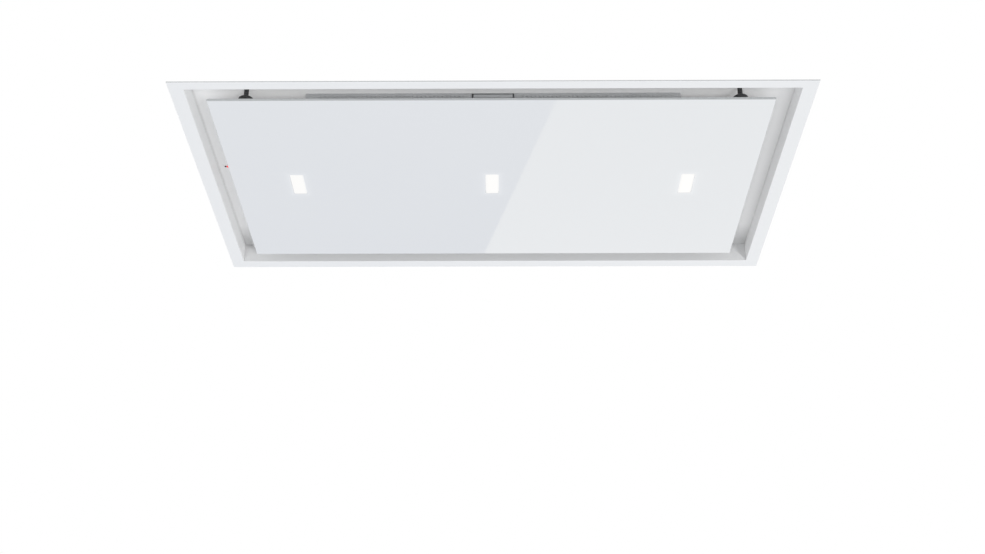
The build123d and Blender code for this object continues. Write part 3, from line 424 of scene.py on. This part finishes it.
def white_glass(name):
    """Glass painted white on its back, with ground edges and a soft glow round each lit window."""
    glass = Finish(name, ior=1.52, emission=1.0)
    x, y, _ = glass.parts(glass.place())
    beside = (abs(x.from_multiple(LED_SPACING, LED_MIDDLE)) - LED_HALF_X).at_least(0)
    along = (abs(y) - LED_HALF_Y).at_least(0)
    distance = (beside * beside + along * along) ** 0.5
    up = glass.side()[2]
    edge = (EDGE_ON - abs(up)).ramp(0.0, 0.2)
    back = up.ramp(*SQUARE_ON)
    front = (0 - up).ramp(*SQUARE_ON)
    halo = (distance * (-1 / HALO_REACH)).exponential() * HALO_STRENGTH * front
    paint = glass.mix(glass.noise(3.0, detail=1.0), GLASS_DEEP, GLASS_WHITE)
    ground = glass.noise(900.0, detail=3.0)
    return glass.give(
        colour=glass.mix(edge, glass.mix(back, paint, GLASS_BACK), GLASS_EDGE),
        roughness=0.025 + 0.22 * edge * ground + 0.5 * back,
        glow=glass.mix(halo, BLACK, (1.0, 0.99, 0.96)),
        normal=glass.bump(ground * edge + 0.3 * glass.noise(2.5), 0.02 * MM),
    )


def lit_diffuser(name):
    """Opal window over the LEDs, a little dimmer towards its rim."""
    opal = Finish(name, roughness=0.3, emission=1.0, specular=0.2)
    x, y, _ = opal.parts(opal.place())
    across = abs(x.from_multiple(LED_SPACING, LED_MIDDLE)) / LED_HALF_X
    along = abs(y) / LED_HALF_Y
    rim = (across ** 8 + along ** 24).at_most(1)
    frost = opal.noise(400.0)
    return opal.give(
        colour=opal.mix(frost, (0.10, 0.10, 0.10), (0.12, 0.12, 0.12)),
        glow=opal.mix(rim, (0.86, 0.85, 0.83), (0.78, 0.78, 0.77)),
    )


def status_red(name):
    """Lit red lens, brightest at its middle."""
    lens = Finish(name, roughness=0.15, emission=1.0, ior=1.49)
    swirl = lens.noise(500.0)
    return lens.give(
        colour=lens.mix(swirl, (0.45, 0.01, 0.01), (0.6, 0.02, 0.02)),
        glow=lens.mix(swirl, (0.75, 0.02, 0.02), (0.95, 0.05, 0.05)),
    )


def dark_window(name):
    """Infrared window: nearly black, with a deep red in it."""
    window = Finish(name, ior=1.5)
    depth = window.noise(300.0)
    return window.give(
        colour=window.mix(depth, (0.02, 0.012, 0.016), (0.05, 0.018, 0.024)),
        roughness=0.10 + 0.10 * depth,
    )


def rubber(name):
    """Dull black rubber with a little bloom."""
    bush = Finish(name, specular=0.3)
    bloom = bush.noise(220.0, detail=4.0)
    return bush.give(
        colour=bush.mix(bloom, (0.018, 0.018, 0.018), (0.05, 0.05, 0.048)),
        roughness=0.7 + 0.2 * bloom,
        normal=bush.bump(bloom, 0.03 * MM),
    )


def circuit_board(name, mask, track):
    """Solder mask over copper tracks, with bright pads."""
    board = Finish(name, ior=1.5)
    lanes = board.cells(260.0, feature="DISTANCE_TO_EDGE") < 0.07
    pads = board.cells(420.0) < 0.16
    tracks = board.mix(lanes, mask, track)
    return board.give(
        colour=board.mix(pads, tracks, (0.70, 0.68, 0.60)),
        roughness=0.45 - 0.2 * pads,
        metallic=0.9 * pads,
        normal=board.bump(lanes + pads, 0.03 * MM),
    )


COPPER_START = 0.62  # share of half the stator's height
LAMINATION = 0.5 * MM


def wound_core(name):
    """Steel laminations in the middle of the stator, varnished copper at its ends."""
    core = Finish(name)
    z = core.parts(core.place())[2]
    middle = (STATOR_LOW.z + STATOR_HIGH.z) / 2
    half = (STATOR_HIGH.z - STATOR_LOW.z) / 2
    copper = abs(z - middle) / half > COPPER_START
    sheets = (z * (2 * math.pi / LAMINATION)).sine() * 0.5 + 0.5
    strands = core.noise(420.0, stretch=(1, 1, 9.0), detail=2.0)
    steel = core.mix(sheets, (0.10, 0.11, 0.12), (0.42, 0.43, 0.44))
    wire = core.mix(strands, (0.30, 0.10, 0.03), (0.72, 0.33, 0.12))
    return core.give(
        colour=core.mix(copper, steel, wire),
        roughness=0.35 + 0.2 * strands,
        metallic=0.85 + 0.1 * strands,
        normal=core.bump(sheets * (1 - copper) + strands * copper, 0.1 * MM),
    )


def capacitor_can(name):
    """Pale plastic can with handling marks."""
    can = Finish(name, ior=1.5, coat=0.2)
    marks = can.noise(90.0, detail=4.0)
    return can.give(
        colour=can.mix(marks, (0.66, 0.67, 0.67), (0.76, 0.77, 0.77)),
        roughness=0.28 + 0.12 * marks,
        normal=can.bump(marks, 0.02 * MM),
    )


GRAIN_ALONG_X = (1.0, 30.0, 30.0)  # how much finer the noise is along each axis
GRAIN_ROUND_Z = (1.0, 1.0, 24.0)

# The plainer finishes take their lighter tone, their darker tone, and a roughness or a grain
white_paint = trim_coat("white_powder_coat")
recess_paint = recess_coat("recess_powder_coat")
tray_paint = powder_coat("tray_powder_coat", (0.75, 0.75, 0.75), (0.73, 0.73, 0.73), 0.5)
spangle = galvanised("spangled_zinc")
fastener_zinc = zinc_plate("fastener_zinc", (0.72, 0.73, 0.74), (0.50, 0.50, 0.49))
forged_steel = zinc_plate("plated_steel", (0.62, 0.63, 0.65), (0.40, 0.41, 0.43))
filter_aluminium = satin_metal("brushed_aluminium", (0.70, 0.71, 0.72), (0.50, 0.51, 0.52), GRAIN_ALONG_X)
drawn_steel = satin_metal("drawn_motor_steel", (0.58, 0.60, 0.62), (0.40, 0.41, 0.43), GRAIN_ROUND_Z)
black_moulding = moulding("black_moulding", (0.035, 0.035, 0.037), (0.022, 0.022, 0.024), 0.42)
fan_moulding = moulding("fan_moulding", (0.085, 0.088, 0.092), (0.06, 0.062, 0.066), 0.5)
grey_moulding = moulding("grey_moulding", (0.30, 0.31, 0.32), (0.24, 0.25, 0.26), 0.5)
nylon = moulding("terminal_nylon", (0.78, 0.77, 0.70), (0.70, 0.69, 0.62), 0.4)
glass_white = white_glass("white_glass")
opal_white = lit_diffuser("lit_opal")
lamp_red = status_red("status_red")
receiver_black = dark_window("receiver_window")
bush_rubber = rubber("bush_rubber")
green_board = circuit_board("green_board", (0.015, 0.12, 0.05), (0.03, 0.22, 0.09))
lamp_board = circuit_board("lamp_board", (0.72, 0.72, 0.70), (0.60, 0.60, 0.58))
stator = wound_core("stator_winding")
capacitor_shell = capacitor_can("capacitor_shell")

FINISH_OF = {
    white_paint: ["trim_frame"],
    recess_paint: ["recess_pan"],
    tray_paint: ["panel_carrier"],
    spangle: [
        "front_wall", "rear_wall", "left_wall", "right_wall", "top_cover", "hanger_brackets",
        "front_rail", "rear_rail", "motor_mount",
    ],
    fastener_zinc: [
        "corner_rivets", "cover_screws", "hub_nut", "motor_screws", "collar_screws", "bracket_screws",
    ],
    forged_steel: ["hinge_brackets", "hinge_leaves", "hinge_pins", "damper_pin"],
    filter_aluminium: ["filter_frame", "filter_face", "filter_mesh", "latch_guide", "filter_latch"],
    drawn_steel: [
        "motor_can", "motor_end_cap", "motor_bearings", "rotor_core", "motor_shaft", "latch_springs",
        "damper_spring",
    ],
    black_moulding: [
        "outlet_plate", "outlet_spigot", "damper_flap_left", "damper_flap_right", "cable_gland",
        "latch_studs", "latch_sockets",
    ],
    fan_moulding: ["scroll_base", "scroll_wall", "scroll_top", "inlet_ring", "impeller"],
    grey_moulding: ["control_box", "control_lid", "led_driver", "lamp_housings"],
    nylon: ["terminal_block"],
    glass_white: ["glass_panel"],
    opal_white: ["led_lenses"],
    lamp_red: ["status_lamp"],
    receiver_black: ["remote_receiver"],
    bush_rubber: ["motor_bushes"],
    green_board: ["control_board"],
    lamp_board: ["led_boards"],
    stator: ["stator_core"],
    capacitor_shell: ["run_capacitor"],
}


def dress_nodes():
    """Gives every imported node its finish."""
    for finish, names in FINISH_OF.items():
        for name in names:
            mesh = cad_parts[name].data
            mesh.materials.clear()
            mesh.materials.append(finish)


# Pieces


def add_object(name, data):
    made = bpy.data.objects.new(name, data)
    bpy.context.scene.collection.objects.link(made)
    return made


def new_mesh(name, vertices, faces, finish):
    mesh = bpy.data.meshes.new(name)
    mesh.from_pydata([tuple(v) for v in vertices], [], faces)
    mesh.materials.append(finish)
    return mesh


def make_piece(name, vertices, faces, finish, slot, body, smooth=True):
    """A mesh piece that rides on a body."""
    mesh = new_mesh(name, vertices, faces, finish)
    mesh.polygons.foreach_set("use_smooth", [smooth] * len(mesh.polygons))
    mesh.validate()
    piece = add_object(name, mesh)
    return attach(piece, body)


def join(parts):
    """The vertices and faces of several (vertices, faces) pairs as one."""
    vertices, faces = [], []
    for part_vertices, part_faces in parts:
        start = len(vertices)
        vertices += part_vertices
        faces += [tuple(start + corner for corner in face) for face in part_faces]
    return vertices, faces


def moved(part, matrix):
    vertices, faces = part
    return [matrix @ Vector(v) for v in vertices], faces


def stack(rings, cap_top=True, cap_bottom=False):
    """Faces between rings that have the same number of points."""
    count = len(rings[0])
    vertices = [point for ring in rings for point in ring]
    faces = []
    for level in range(len(rings) - 1):
        low = level * count
        for i in range(count):
            j = (i + 1) % count
            faces.append((low + i, low + j, low + count + j, low + count + i))
    if cap_top:
        last = (len(rings) - 1) * count
        faces.append(tuple(range(last, last + count)))
    if cap_bottom:
        faces.append(tuple(range(count - 1, -1, -1)))
    return vertices, faces


CORNER_STEPS = 8


def rounded_outline(half_x, half_y, radius, height):
    """Points round a rectangle with round corners."""
    points = []
    for corner, (i, j) in enumerate(((1, 1), (-1, 1), (-1, -1), (1, -1))):
        for step in range(CORNER_STEPS + 1):
            angle = math.radians(90 * (corner + step / CORNER_STEPS))
            x = i * (half_x - radius) + radius * math.cos(angle)
            y = j * (half_y - radius) + radius * math.sin(angle)
            points.append((x, y, height))
    return points


PRESS_STEPS = 8
LEAST_HALF = 0.05 * MM  # of a pressing's top


def pressing(half_x, half_y, radius, ramp, height):
    """A raised field in sheet metal, whose sides leave the sheet in a smooth curve."""
    rings = []
    for step in range(PRESS_STEPS + 1):
        share = step / PRESS_STEPS
        inset = ramp * share
        rise = height * (1 - math.cos(math.pi * share)) / 2
        half = (max(half_x - inset, LEAST_HALF), max(half_y - inset, LEAST_HALF))
        rings.append(rounded_outline(*half, max(min(radius - inset, *half), LEAST_HALF), rise))
    return stack(rings)


def on_wall(x, y, z, facing):
    """Stands a pressing that was made flat on z = 0 on a wall that faces that way."""
    up, out = Vector((0, 0, 1)), Vector(facing)
    turn = Matrix((up.cross(out), up, out)).transposed().to_4x4()
    return Matrix.Translation((x, y, z)) @ turn


BEAD_HALF = 8 * MM
BEAD_HEIGHT = 3.5 * MM
FIELD_HEIGHT = 4 * MM
FIELD = (325 * MM, 180 * MM, 30 * MM, 8 * MM)  # half its length and width, its corners and its slope
SINK = 0.02 * MM  # pressings start just inside the sheet
COVER_BEAD = 520 * MM
COVER_BEAD_ROWS = (-90 * MM, 0, 90 * MM)
FRONT_BEAD = 700 * MM
REAR_BEAD = 240 * MM
REAR_BEAD_PLACE = 260 * MM  # each side of the outlet
LONG_WALL_ROWS = (75 * MM, 140 * MM)
SIDE_BEAD = 380 * MM
SIDE_WALL_ROWS = (110 * MM, 160 * MM)


def bead(length):
    """One straight stiffening bead, lying along x."""
    return pressing(length / 2, BEAD_HALF, BEAD_HALF, BEAD_HALF, BEAD_HEIGHT)


def cover_pressings():
    """The cover's raised field with three beads in it."""
    top = COVER_TOP - SINK
    parts = [moved(pressing(*FIELD, FIELD_HEIGHT), Matrix.Translation((0, 0, top)))]
    for y in COVER_BEAD_ROWS:
        parts.append(moved(bead(COVER_BEAD), Matrix.Translation((0, y, top + FIELD_HEIGHT - SINK))))
    make_piece("cover_pressings", *join(parts), spangle, "galvanised", "housing")


def wall_pressings():
    """Straight beads on the four chassis walls."""
    parts = []
    for z in LONG_WALL_ROWS:
        parts.append(moved(bead(FRONT_BEAD), on_wall(0, FRONT_FACE + SINK, z, (0, -1, 0))))
        for x in (-REAR_BEAD_PLACE, REAR_BEAD_PLACE):
            parts.append(moved(bead(REAR_BEAD), on_wall(x, REAR_FACE - SINK, z, (0, 1, 0))))
    for z in SIDE_WALL_ROWS:
        parts.append(moved(bead(SIDE_BEAD), on_wall(LEFT_FACE + SINK, 0, z, (-1, 0, 0))))
        parts.append(moved(bead(SIDE_BEAD), on_wall(RIGHT_FACE - SINK, 0, z, (1, 0, 0))))
    make_piece("wall_pressings", *join(parts), spangle, "galvanised", "housing")


CROSS_LENGTH = 2.3 * MM
CROSS_WIDTH = 0.55 * MM
THREAD_PITCH = 0.9 * MM
THREAD_DEPTH = 0.22 * MM
THREAD_STEPS = 5  # rings in each turn
WELD = 0.001 * MM  # corners of a solid closer than this are one


def solid_boxes(node):
    """The lowest and highest corners of each separate solid of a node."""
    mesh = bmesh.new()
    mesh.from_mesh(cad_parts[node].data)
    bmesh.ops.remove_doubles(mesh, verts=mesh.verts, dist=WELD)
    left = set(mesh.verts)
    boxes = []
    while left:
        reached = [left.pop()]
        for vertex in reached:
            near = {edge.other_vert(vertex) for edge in vertex.link_edges} & left
            left -= near
            reached += near
        axes = list(zip(*(vertex.co for vertex in reached)))
        boxes.append((Vector(map(min, axes)), Vector(map(max, axes))))
    mesh.free()
    return sorted(boxes, key=lambda box: tuple(box[0]))


def turn_angles():
    """Angles round a screw, with the corners of its cross recess among them."""
    corner = math.atan2(CROSS_WIDTH, CROSS_LENGTH)
    middle = (corner + math.pi / 4) / 2
    quarter = [0, corner, middle, math.pi / 4, math.pi / 2 - middle, math.pi / 2 - corner]
    return [turn * math.pi / 2 + angle for turn in range(4) for angle in quarter]


def polar(reach, angle, height):
    return (reach * math.cos(angle), reach * math.sin(angle), height)


def circle(radius, height):
    return [polar(radius, angle, height) for angle in turn_angles()]


def cross(scale, height):
    """The outline of a cross recess."""
    points = []
    for angle in turn_angles():
        along, across = sorted((abs(math.cos(angle)), abs(math.sin(angle))), reverse=True)
        reach = min(CROSS_LENGTH / along, CROSS_WIDTH / max(across, 1e-6)) * scale
        points.append(polar(reach, angle, height))
    return points


def thread(radius, low, high):
    """Rings of a screw thread between two heights."""
    count = int((high - low) / THREAD_PITCH * THREAD_STEPS)
    rings = []
    for step in range(count + 1):
        height = low + (high - low) * step / count
        ring = []
        for angle in turn_angles():
            share = (height / THREAD_PITCH - angle / (2 * math.pi)) % 1
            ring.append(polar(radius - THREAD_DEPTH * abs(2 * share - 1), angle, height))
        rings.append(ring)
    return rings


def pan_head_screw(head_radius, top, radius, depth):
    """A screw with its seat on z = 0, its head up to the top and its thread below."""
    rim = [(head_radius - 0.1 * MM, 0), (head_radius, 0.12 * MM), (head_radius, 0.45 * top)]
    dome = [(head_radius - 0.25 * top, 0.82 * top), (0.72 * head_radius, top)]
    rings = [circle(0.5 * radius, -depth), *thread(radius, 0.3 * MM - depth, -0.2 * MM)]
    rings += [circle(*point) for point in [(radius, 0), *rim, *dome]]
    rings += [cross(1.0, top), cross(0.82, 0.35 * top)]
    return stack(rings, cap_bottom=True)


def blind_rivet(head_radius, top, radius, depth):
    """A set blind rivet: a domed flange with the mandrel's hole, and a bulb behind the sheets."""
    hole = 0.5 * radius
    bulb = [(0.6 * radius, -depth), (1.35 * radius, -0.86 * depth), (1.5 * radius, -0.65 * depth)]
    shank = [(radius, -0.45 * depth), (radius, 0)]
    dome = [(head_radius, 0), (head_radius, 0.2 * top), (0.78 * head_radius, 0.7 * top)]
    bore = [(1.7 * hole, top), (1.1 * hole, 0.92 * top), (hole, 0.1 * top), (0.2 * hole, 0.25 * top)]
    return stack([circle(*point) for point in bulb + shank + dome + bore], cap_bottom=True)


SPIN_STEP = 2.4  # radians from one screw's cross to the next one's
SHARP_ANGLE = math.radians(32)  # steeper edges aren't smoothed over


def fasteners(name, node, part, head_height, inward):
    """Sets a detailed fastener on each solid of a node; inward(middle) is its driving direction."""
    parts = []
    for low, high in solid_boxes(node):
        middle = (low + high) / 2
        out = -Vector(inward(middle))
        axis = max(range(3), key=lambda i: abs(out[i]))
        seat = middle.copy()
        seat[axis] = (high if out[axis] > 0 else low)[axis] - out[axis] * head_height
        turn = Vector((0, 0, 1)).rotation_difference(out).to_matrix().to_4x4()
        spin = Matrix.Rotation(SPIN_STEP * len(parts), 4, "Z")
        parts.append(moved(part, Matrix.Translation(seat) @ turn @ spin))
    piece = make_piece(name, *join(parts), fastener_zinc, "zinc_screw", "housing")
    piece.data.set_sharp_from_angle(angle=SHARP_ANGLE)
    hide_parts(node)


def always(direction):
    """The same driving direction for every fastener of a node."""
    return lambda middle: direction


def into_wall(middle):
    """The rivets are driven into the front and rear walls, towards the hood's middle."""
    return (0, -math.copysign(1, middle.y), 0)


SCREW_HEAD = 2.2 * MM
SCREW_HEAD_RADIUS = 3.99 * MM
BRACKET_HEAD_RADIUS = 3.59 * MM
SCREW_RADIUS = 2.0 * MM
SCREW_SETS = (  # name, node, radius of the head, length under it, driving direction
    ("cover_screw_set", "cover_screws", SCREW_HEAD_RADIUS, 4.6 * MM, (0, 0, -1)),
    ("collar_screw_set", "collar_screws", SCREW_HEAD_RADIUS, 6.4 * MM, (0, -1, 0)),
    ("bracket_screw_set", "bracket_screws", BRACKET_HEAD_RADIUS, 5.4 * MM, (0, 0, 1)),
)
RIVET_HEAD = 1.2 * MM
RIVET_HEAD_RADIUS = 3.19 * MM
RIVET_RADIUS = 1.6 * MM
RIVET_DEPTH = 3.6 * MM


def set_fasteners():
    """The screws and rivets that show from outside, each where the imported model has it."""
    for name, node, head_radius, length, inward in SCREW_SETS:
        screw = pan_head_screw(head_radius, SCREW_HEAD, SCREW_RADIUS, length)
        fasteners(name, node, screw, SCREW_HEAD, always(inward))
    rivet = blind_rivet(RIVET_HEAD_RADIUS, RIVET_HEAD, RIVET_RADIUS, RIVET_DEPTH)
    fasteners("corner_rivet_set", "corner_rivets", rivet, RIVET_HEAD, into_wall)


DIAMOND_LONG = 12 * MM
DIAMOND_SHORT = 6 * MM
STRAND_WIDTH = 0.8 * MM
STRAND_DEPTH = 0.6 * MM
MESH_LAYERS = 3
LAYER_TILT = 0.5 * MM  # how far each strand's zigzag leans out of the layer
LATCH_NOTCH = (39 * MM, GUIDE_REAR + 2 * MM)  # half its width, and its rear edge


def expanded_layer(low, high, notch, middle, start):
    """One layer of expanded aluminium: zigzag strands that meet at the diamonds' corners."""
    rows = int((high.y - low.y) / (DIAMOND_SHORT / 2)) - 1
    steps = int((high.x - low.x) / (DIAMOND_LONG / 2)) - 1
    pitch_x = (high.x - low.x - 2 * STRAND_WIDTH) / steps
    pitch_y = (high.y - low.y - 2 * STRAND_WIDTH) / rows
    half_w, half_d = STRAND_WIDTH / 2, STRAND_DEPTH / 2
    section = ((-half_w, -half_d), (half_w, -half_d), (half_w, half_d), (-half_w, half_d))
    strands = []
    for row in range(0, rows, 2):
        runs = [[]]
        for step in range(steps + 1):
            x = low.x + STRAND_WIDTH + step * pitch_x
            swing = (step + row // 2 + start) % 2
            y = low.y + STRAND_WIDTH + (row + swing) * pitch_y
            lift = middle + LAYER_TILT * (swing - 0.5)
            if abs(x) < notch[0] and y - pitch_y < notch[1]:
                runs.append([])
            else:
                runs[-1].append([(x, y + across, deep + lift) for across, deep in section])
        strands += [stack(rings, cap_bottom=True) for rings in runs if len(rings) > 1]
    return strands


def filter_layers():
    """Layers of expanded aluminium in place of the plain sheets of the filter."""
    parts = []
    for layer in range(MESH_LAYERS):
        share = (layer + 0.5) / MESH_LAYERS
        middle = MESH_LOW.z + share * (MESH_HIGH.z - MESH_LOW.z)
        parts += expanded_layer(MESH_LOW, MESH_HIGH, LATCH_NOTCH, middle, layer % 2)
    piece = make_piece(
        "expanded_filter_layers", *join(parts), filter_aluminium, "filter_metal", "filter", smooth=False
    )
    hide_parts("filter_mesh")


SPRING_TURNS = 9
STEPS_A_TURN = 24
SPRING_WIRE = 0.25 * MM
SPRING_SIDES = 10


def coil(low, high):
    """A wire spring wound along y, as long and as wide as a box."""
    middle = (low + high) / 2
    radius = (high.x - low.x) / 2 - SPRING_WIRE
    start, end = low.y + SPRING_WIRE, high.y - SPRING_WIRE
    along = Vector((0, 1, 0))
    sides = [2 * math.pi * side / SPRING_SIDES for side in range(SPRING_SIDES)]
    rings = []
    for step in range(SPRING_TURNS * STEPS_A_TURN + 1):
        turn = step / STEPS_A_TURN
        out = Vector((math.cos(2 * math.pi * turn), 0, math.sin(2 * math.pi * turn)))
        centre = middle + radius * out
        centre.y = start + (end - start) * turn / SPRING_TURNS
        rings.append([
            centre + SPRING_WIRE * (math.cos(angle) * out + math.sin(angle) * along) for angle in sides
        ])
    return stack(rings, cap_bottom=True)


def latch_spring_coils():
    """The latch's two springs, as fixed wire coils; the real springs shorten towards their rear seats as
    the latch slides back.
    """
    boxes = solid_boxes("latch_springs")
    coils = join([coil(low, high) for low, high in boxes])
    piece = make_piece("latch_spring_coils", *coils, drawn_steel, "motor_steel", "filter")
    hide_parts("latch_springs")
    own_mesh(piece)


dress_nodes()
cover_pressings()
wall_pressings()
set_fasteners()
filter_layers()
latch_spring_coils()


# Camera, light and backdrop


def make_camera():
    data = bpy.data.cameras.new("photo_camera")
    data.sensor_fit = "HORIZONTAL"
    data.sensor_width = SENSOR_WIDTH
    data.lens = CAMERA_LENS
    camera = add_object("photo_camera", data)
    turn = Matrix.Rotation(-CAMERA_YAW, 4, "Z")
    turn = turn @ Matrix.Rotation(math.pi / 2 + CAMERA_PITCH, 4, "X")
    turn = turn @ Matrix.Rotation(CAMERA_ROLL, 4, "Z")
    camera.matrix_world = Matrix.Translation(CAMERA_PLACE) @ turn
    bpy.context.scene.camera = camera


def background_rays(tree):
    """1 for rays that should see the plain white background."""
    path = tree.node("ShaderNodeLightPath").socket.node
    camera, glossy, through = [
        Value(tree, path.outputs[name])
        for name in ("Is Camera Ray", "Is Glossy Ray", "Is Transmission Ray")
    ]
    return camera.at_least(glossy).at_least(through)


AMBIENT = 0.785
AMBIENT_COLOUR = (0.985, 0.99, 1.0)


def make_world():
    world = bpy.data.worlds.new("studio")
    bpy.context.scene.world = world
    tree = Tree(world, "ShaderNodeOutputWorld")
    seen = tree.node("ShaderNodeBackground", {}, {"Color": (1, 1, 1), "Strength": 1.0})
    ambient = tree.node("ShaderNodeBackground", {}, {"Color": AMBIENT_COLOUR, "Strength": AMBIENT})
    tree.finish_with(tree.between(background_rays(tree), ambient, seen))


def stage_material(name):
    return Tree(bpy.data.materials.new(name), "ShaderNodeOutputMaterial")


def stage_sheet(name, corners, faces, finish, hidden_from):
    """A flat sheet of the stage, which some kinds of ray don't see."""
    sheet = add_object(name, new_mesh(name, corners, faces, finish))
    for ray in hidden_from:
        setattr(sheet, f"visible_{ray}", False)


SIGNS = ((-1, -1), (1, -1), (1, 1), (-1, 1))
ONE_FACE = [(0, 1, 2, 3)]
FLOOR_HEIGHT = -4.2
FLOOR_HALF = 30.0
FLOOR_FADE = (3.0, 9.0)  # where it turns into the white background
FLOOR_COLOUR = (0.86, 0.87, 0.88)


def make_floor():
    """Pale floor far enough down for the views from below, fading into the background."""
    tree = stage_material("pale_floor")
    x, y, _ = tree.parts(tree.place())
    far = ((x * x + y * y) ** 0.5).ramp(*FLOOR_FADE)
    paint = tree.node("ShaderNodeBsdfDiffuse", {}, {"Color": FLOOR_COLOUR})
    finish = tree.finish_with(tree.between(far * background_rays(tree), paint, tree.plain_glow()))
    corners = [(i * FLOOR_HALF, j * FLOOR_HALF, FLOOR_HEIGHT) for i, j in SIGNS]
    stage_sheet("floor", corners, ONE_FACE, finish, ["shadow"])  # the key lamps stand below it


CEILING_HALF = 12.0
CEILING_LIFT = 0.5 * MM
CUTOUT_MARGIN = 9 * MM


def make_ceiling():
    """White sheet round the hood at the ceiling's height, seen only from below."""
    tree = stage_material("ceiling_backdrop")
    above = tree.node("ShaderNodeNewGeometry", output="Backfacing")
    clear = tree.node("ShaderNodeBsdfTransparent")
    finish = tree.finish_with(tree.between(above, tree.plain_glow(), clear))
    inner = (FRONT_HALF + CUTOUT_MARGIN, REAR_FACE + CUTOUT_MARGIN)
    outer = (CEILING_HALF, CEILING_HALF)
    corners = [(i * w, j * d, CEILING_LIFT) for w, d in (outer, inner) for i, j in SIGNS]
    faces = [(i, 4 + i, 4 + (i + 1) % 4, (i + 1) % 4) for i in range(4)]
    hidden_from = ("diffuse", "glossy", "transmission", "volume_scatter", "shadow")
    stage_sheet("ceiling_backdrop", corners, faces, finish, hidden_from)


LAMP_TARGET = Vector((0, 0, 0.1))


def make_lamp(name, place, size, power):
    """A soft lamp, aimed at the hood, that isn't itself seen."""
    data = bpy.data.lights.new(name, "AREA")
    data.shape = "RECTANGLE"
    data.size, data.size_y = size
    data.energy = power
    lamp = add_object(name, data)
    aim = LAMP_TARGET - Vector(place)
    lamp.matrix_world = Matrix.Translation(place) @ aim.to_track_quat("-Z", "Y").to_matrix().to_4x4()
    lamp.visible_camera = False
    lamp.visible_glossy = False


KEY_SLOPE = math.radians(34)  # seen from the side, steep enough to reach into the near gap
KEY_SOFTNESS = math.radians(12)


def make_sun(name, side_degrees, strength):
    """Soft light from below and in front, turned so many degrees to the right."""
    data = bpy.data.lights.new(name, "SUN")
    data.energy = strength
    data.angle = KEY_SOFTNESS
    lamp = add_object(name, data)
    side = math.radians(side_degrees)
    source = Vector((math.sin(side), -math.cos(side), -math.tan(KEY_SLOPE) * math.cos(side)))
    lamp.matrix_world = source.to_track_quat("Z", "Y").to_matrix().to_4x4()
    lamp.visible_glossy = False


# Where the reflection's edge crosses the glass, and the card that makes it
DIAGONAL_NEAR = (0.0886, -0.2372)
DIAGONAL_FAR = (-0.0162, 0.2342)
CARD_Y = 3.0
CARD_SPARE = 0.5
CARD_WIDTH = 2.5
CARD_COLOUR = (0.25, 0.30, 0.47)


def make_card():
    """A pale blue card beyond the hood. The glass reflects its straight edge as a diagonal."""
    tree = stage_material("reflected_card")
    finish = tree.finish_with(tree.plain_glow(CARD_COLOUR))
    mirror_eye = Vector(CAMERA_PLACE)
    mirror_eye.z = 2 * GLASS_LOW.z - mirror_eye.z
    edge = []
    for x, y in (DIAGONAL_NEAR, DIAGONAL_FAR):
        on_glass = Vector((x, y, GLASS_LOW.z))
        ray = on_glass - mirror_eye
        edge.append(on_glass + ray * (CARD_Y - y) / ray.y)
    slope = (edge[1] - edge[0]).normalized()
    low = edge[0] - slope * CARD_SPARE
    high = edge[1] + slope * CARD_SPARE
    across = Vector((CARD_WIDTH, 0, 0))
    corners = [low, high, high - across, low - across]
    hidden_from = ("camera", "diffuse", "transmission", "volume_scatter", "shadow")
    stage_sheet("reflected_card", corners, ONE_FACE, finish, hidden_from)


make_camera()
make_world()
make_floor()
make_ceiling()
make_card()
make_sun("right_key", side_degrees=26.0, strength=0.885)
make_sun("left_key", side_degrees=-14.0, strength=0.465)
make_lamp("top_lamp", place=(-2.0, -1.2, 3.0), size=(1.4, 1.0), power=100.0)
make_lamp("rear_lamp", place=(-2.6, 2.6, 0.9), size=(1.6, 1.2), power=60.0)

bpy.context.scene.view_settings.view_transform = "Standard"
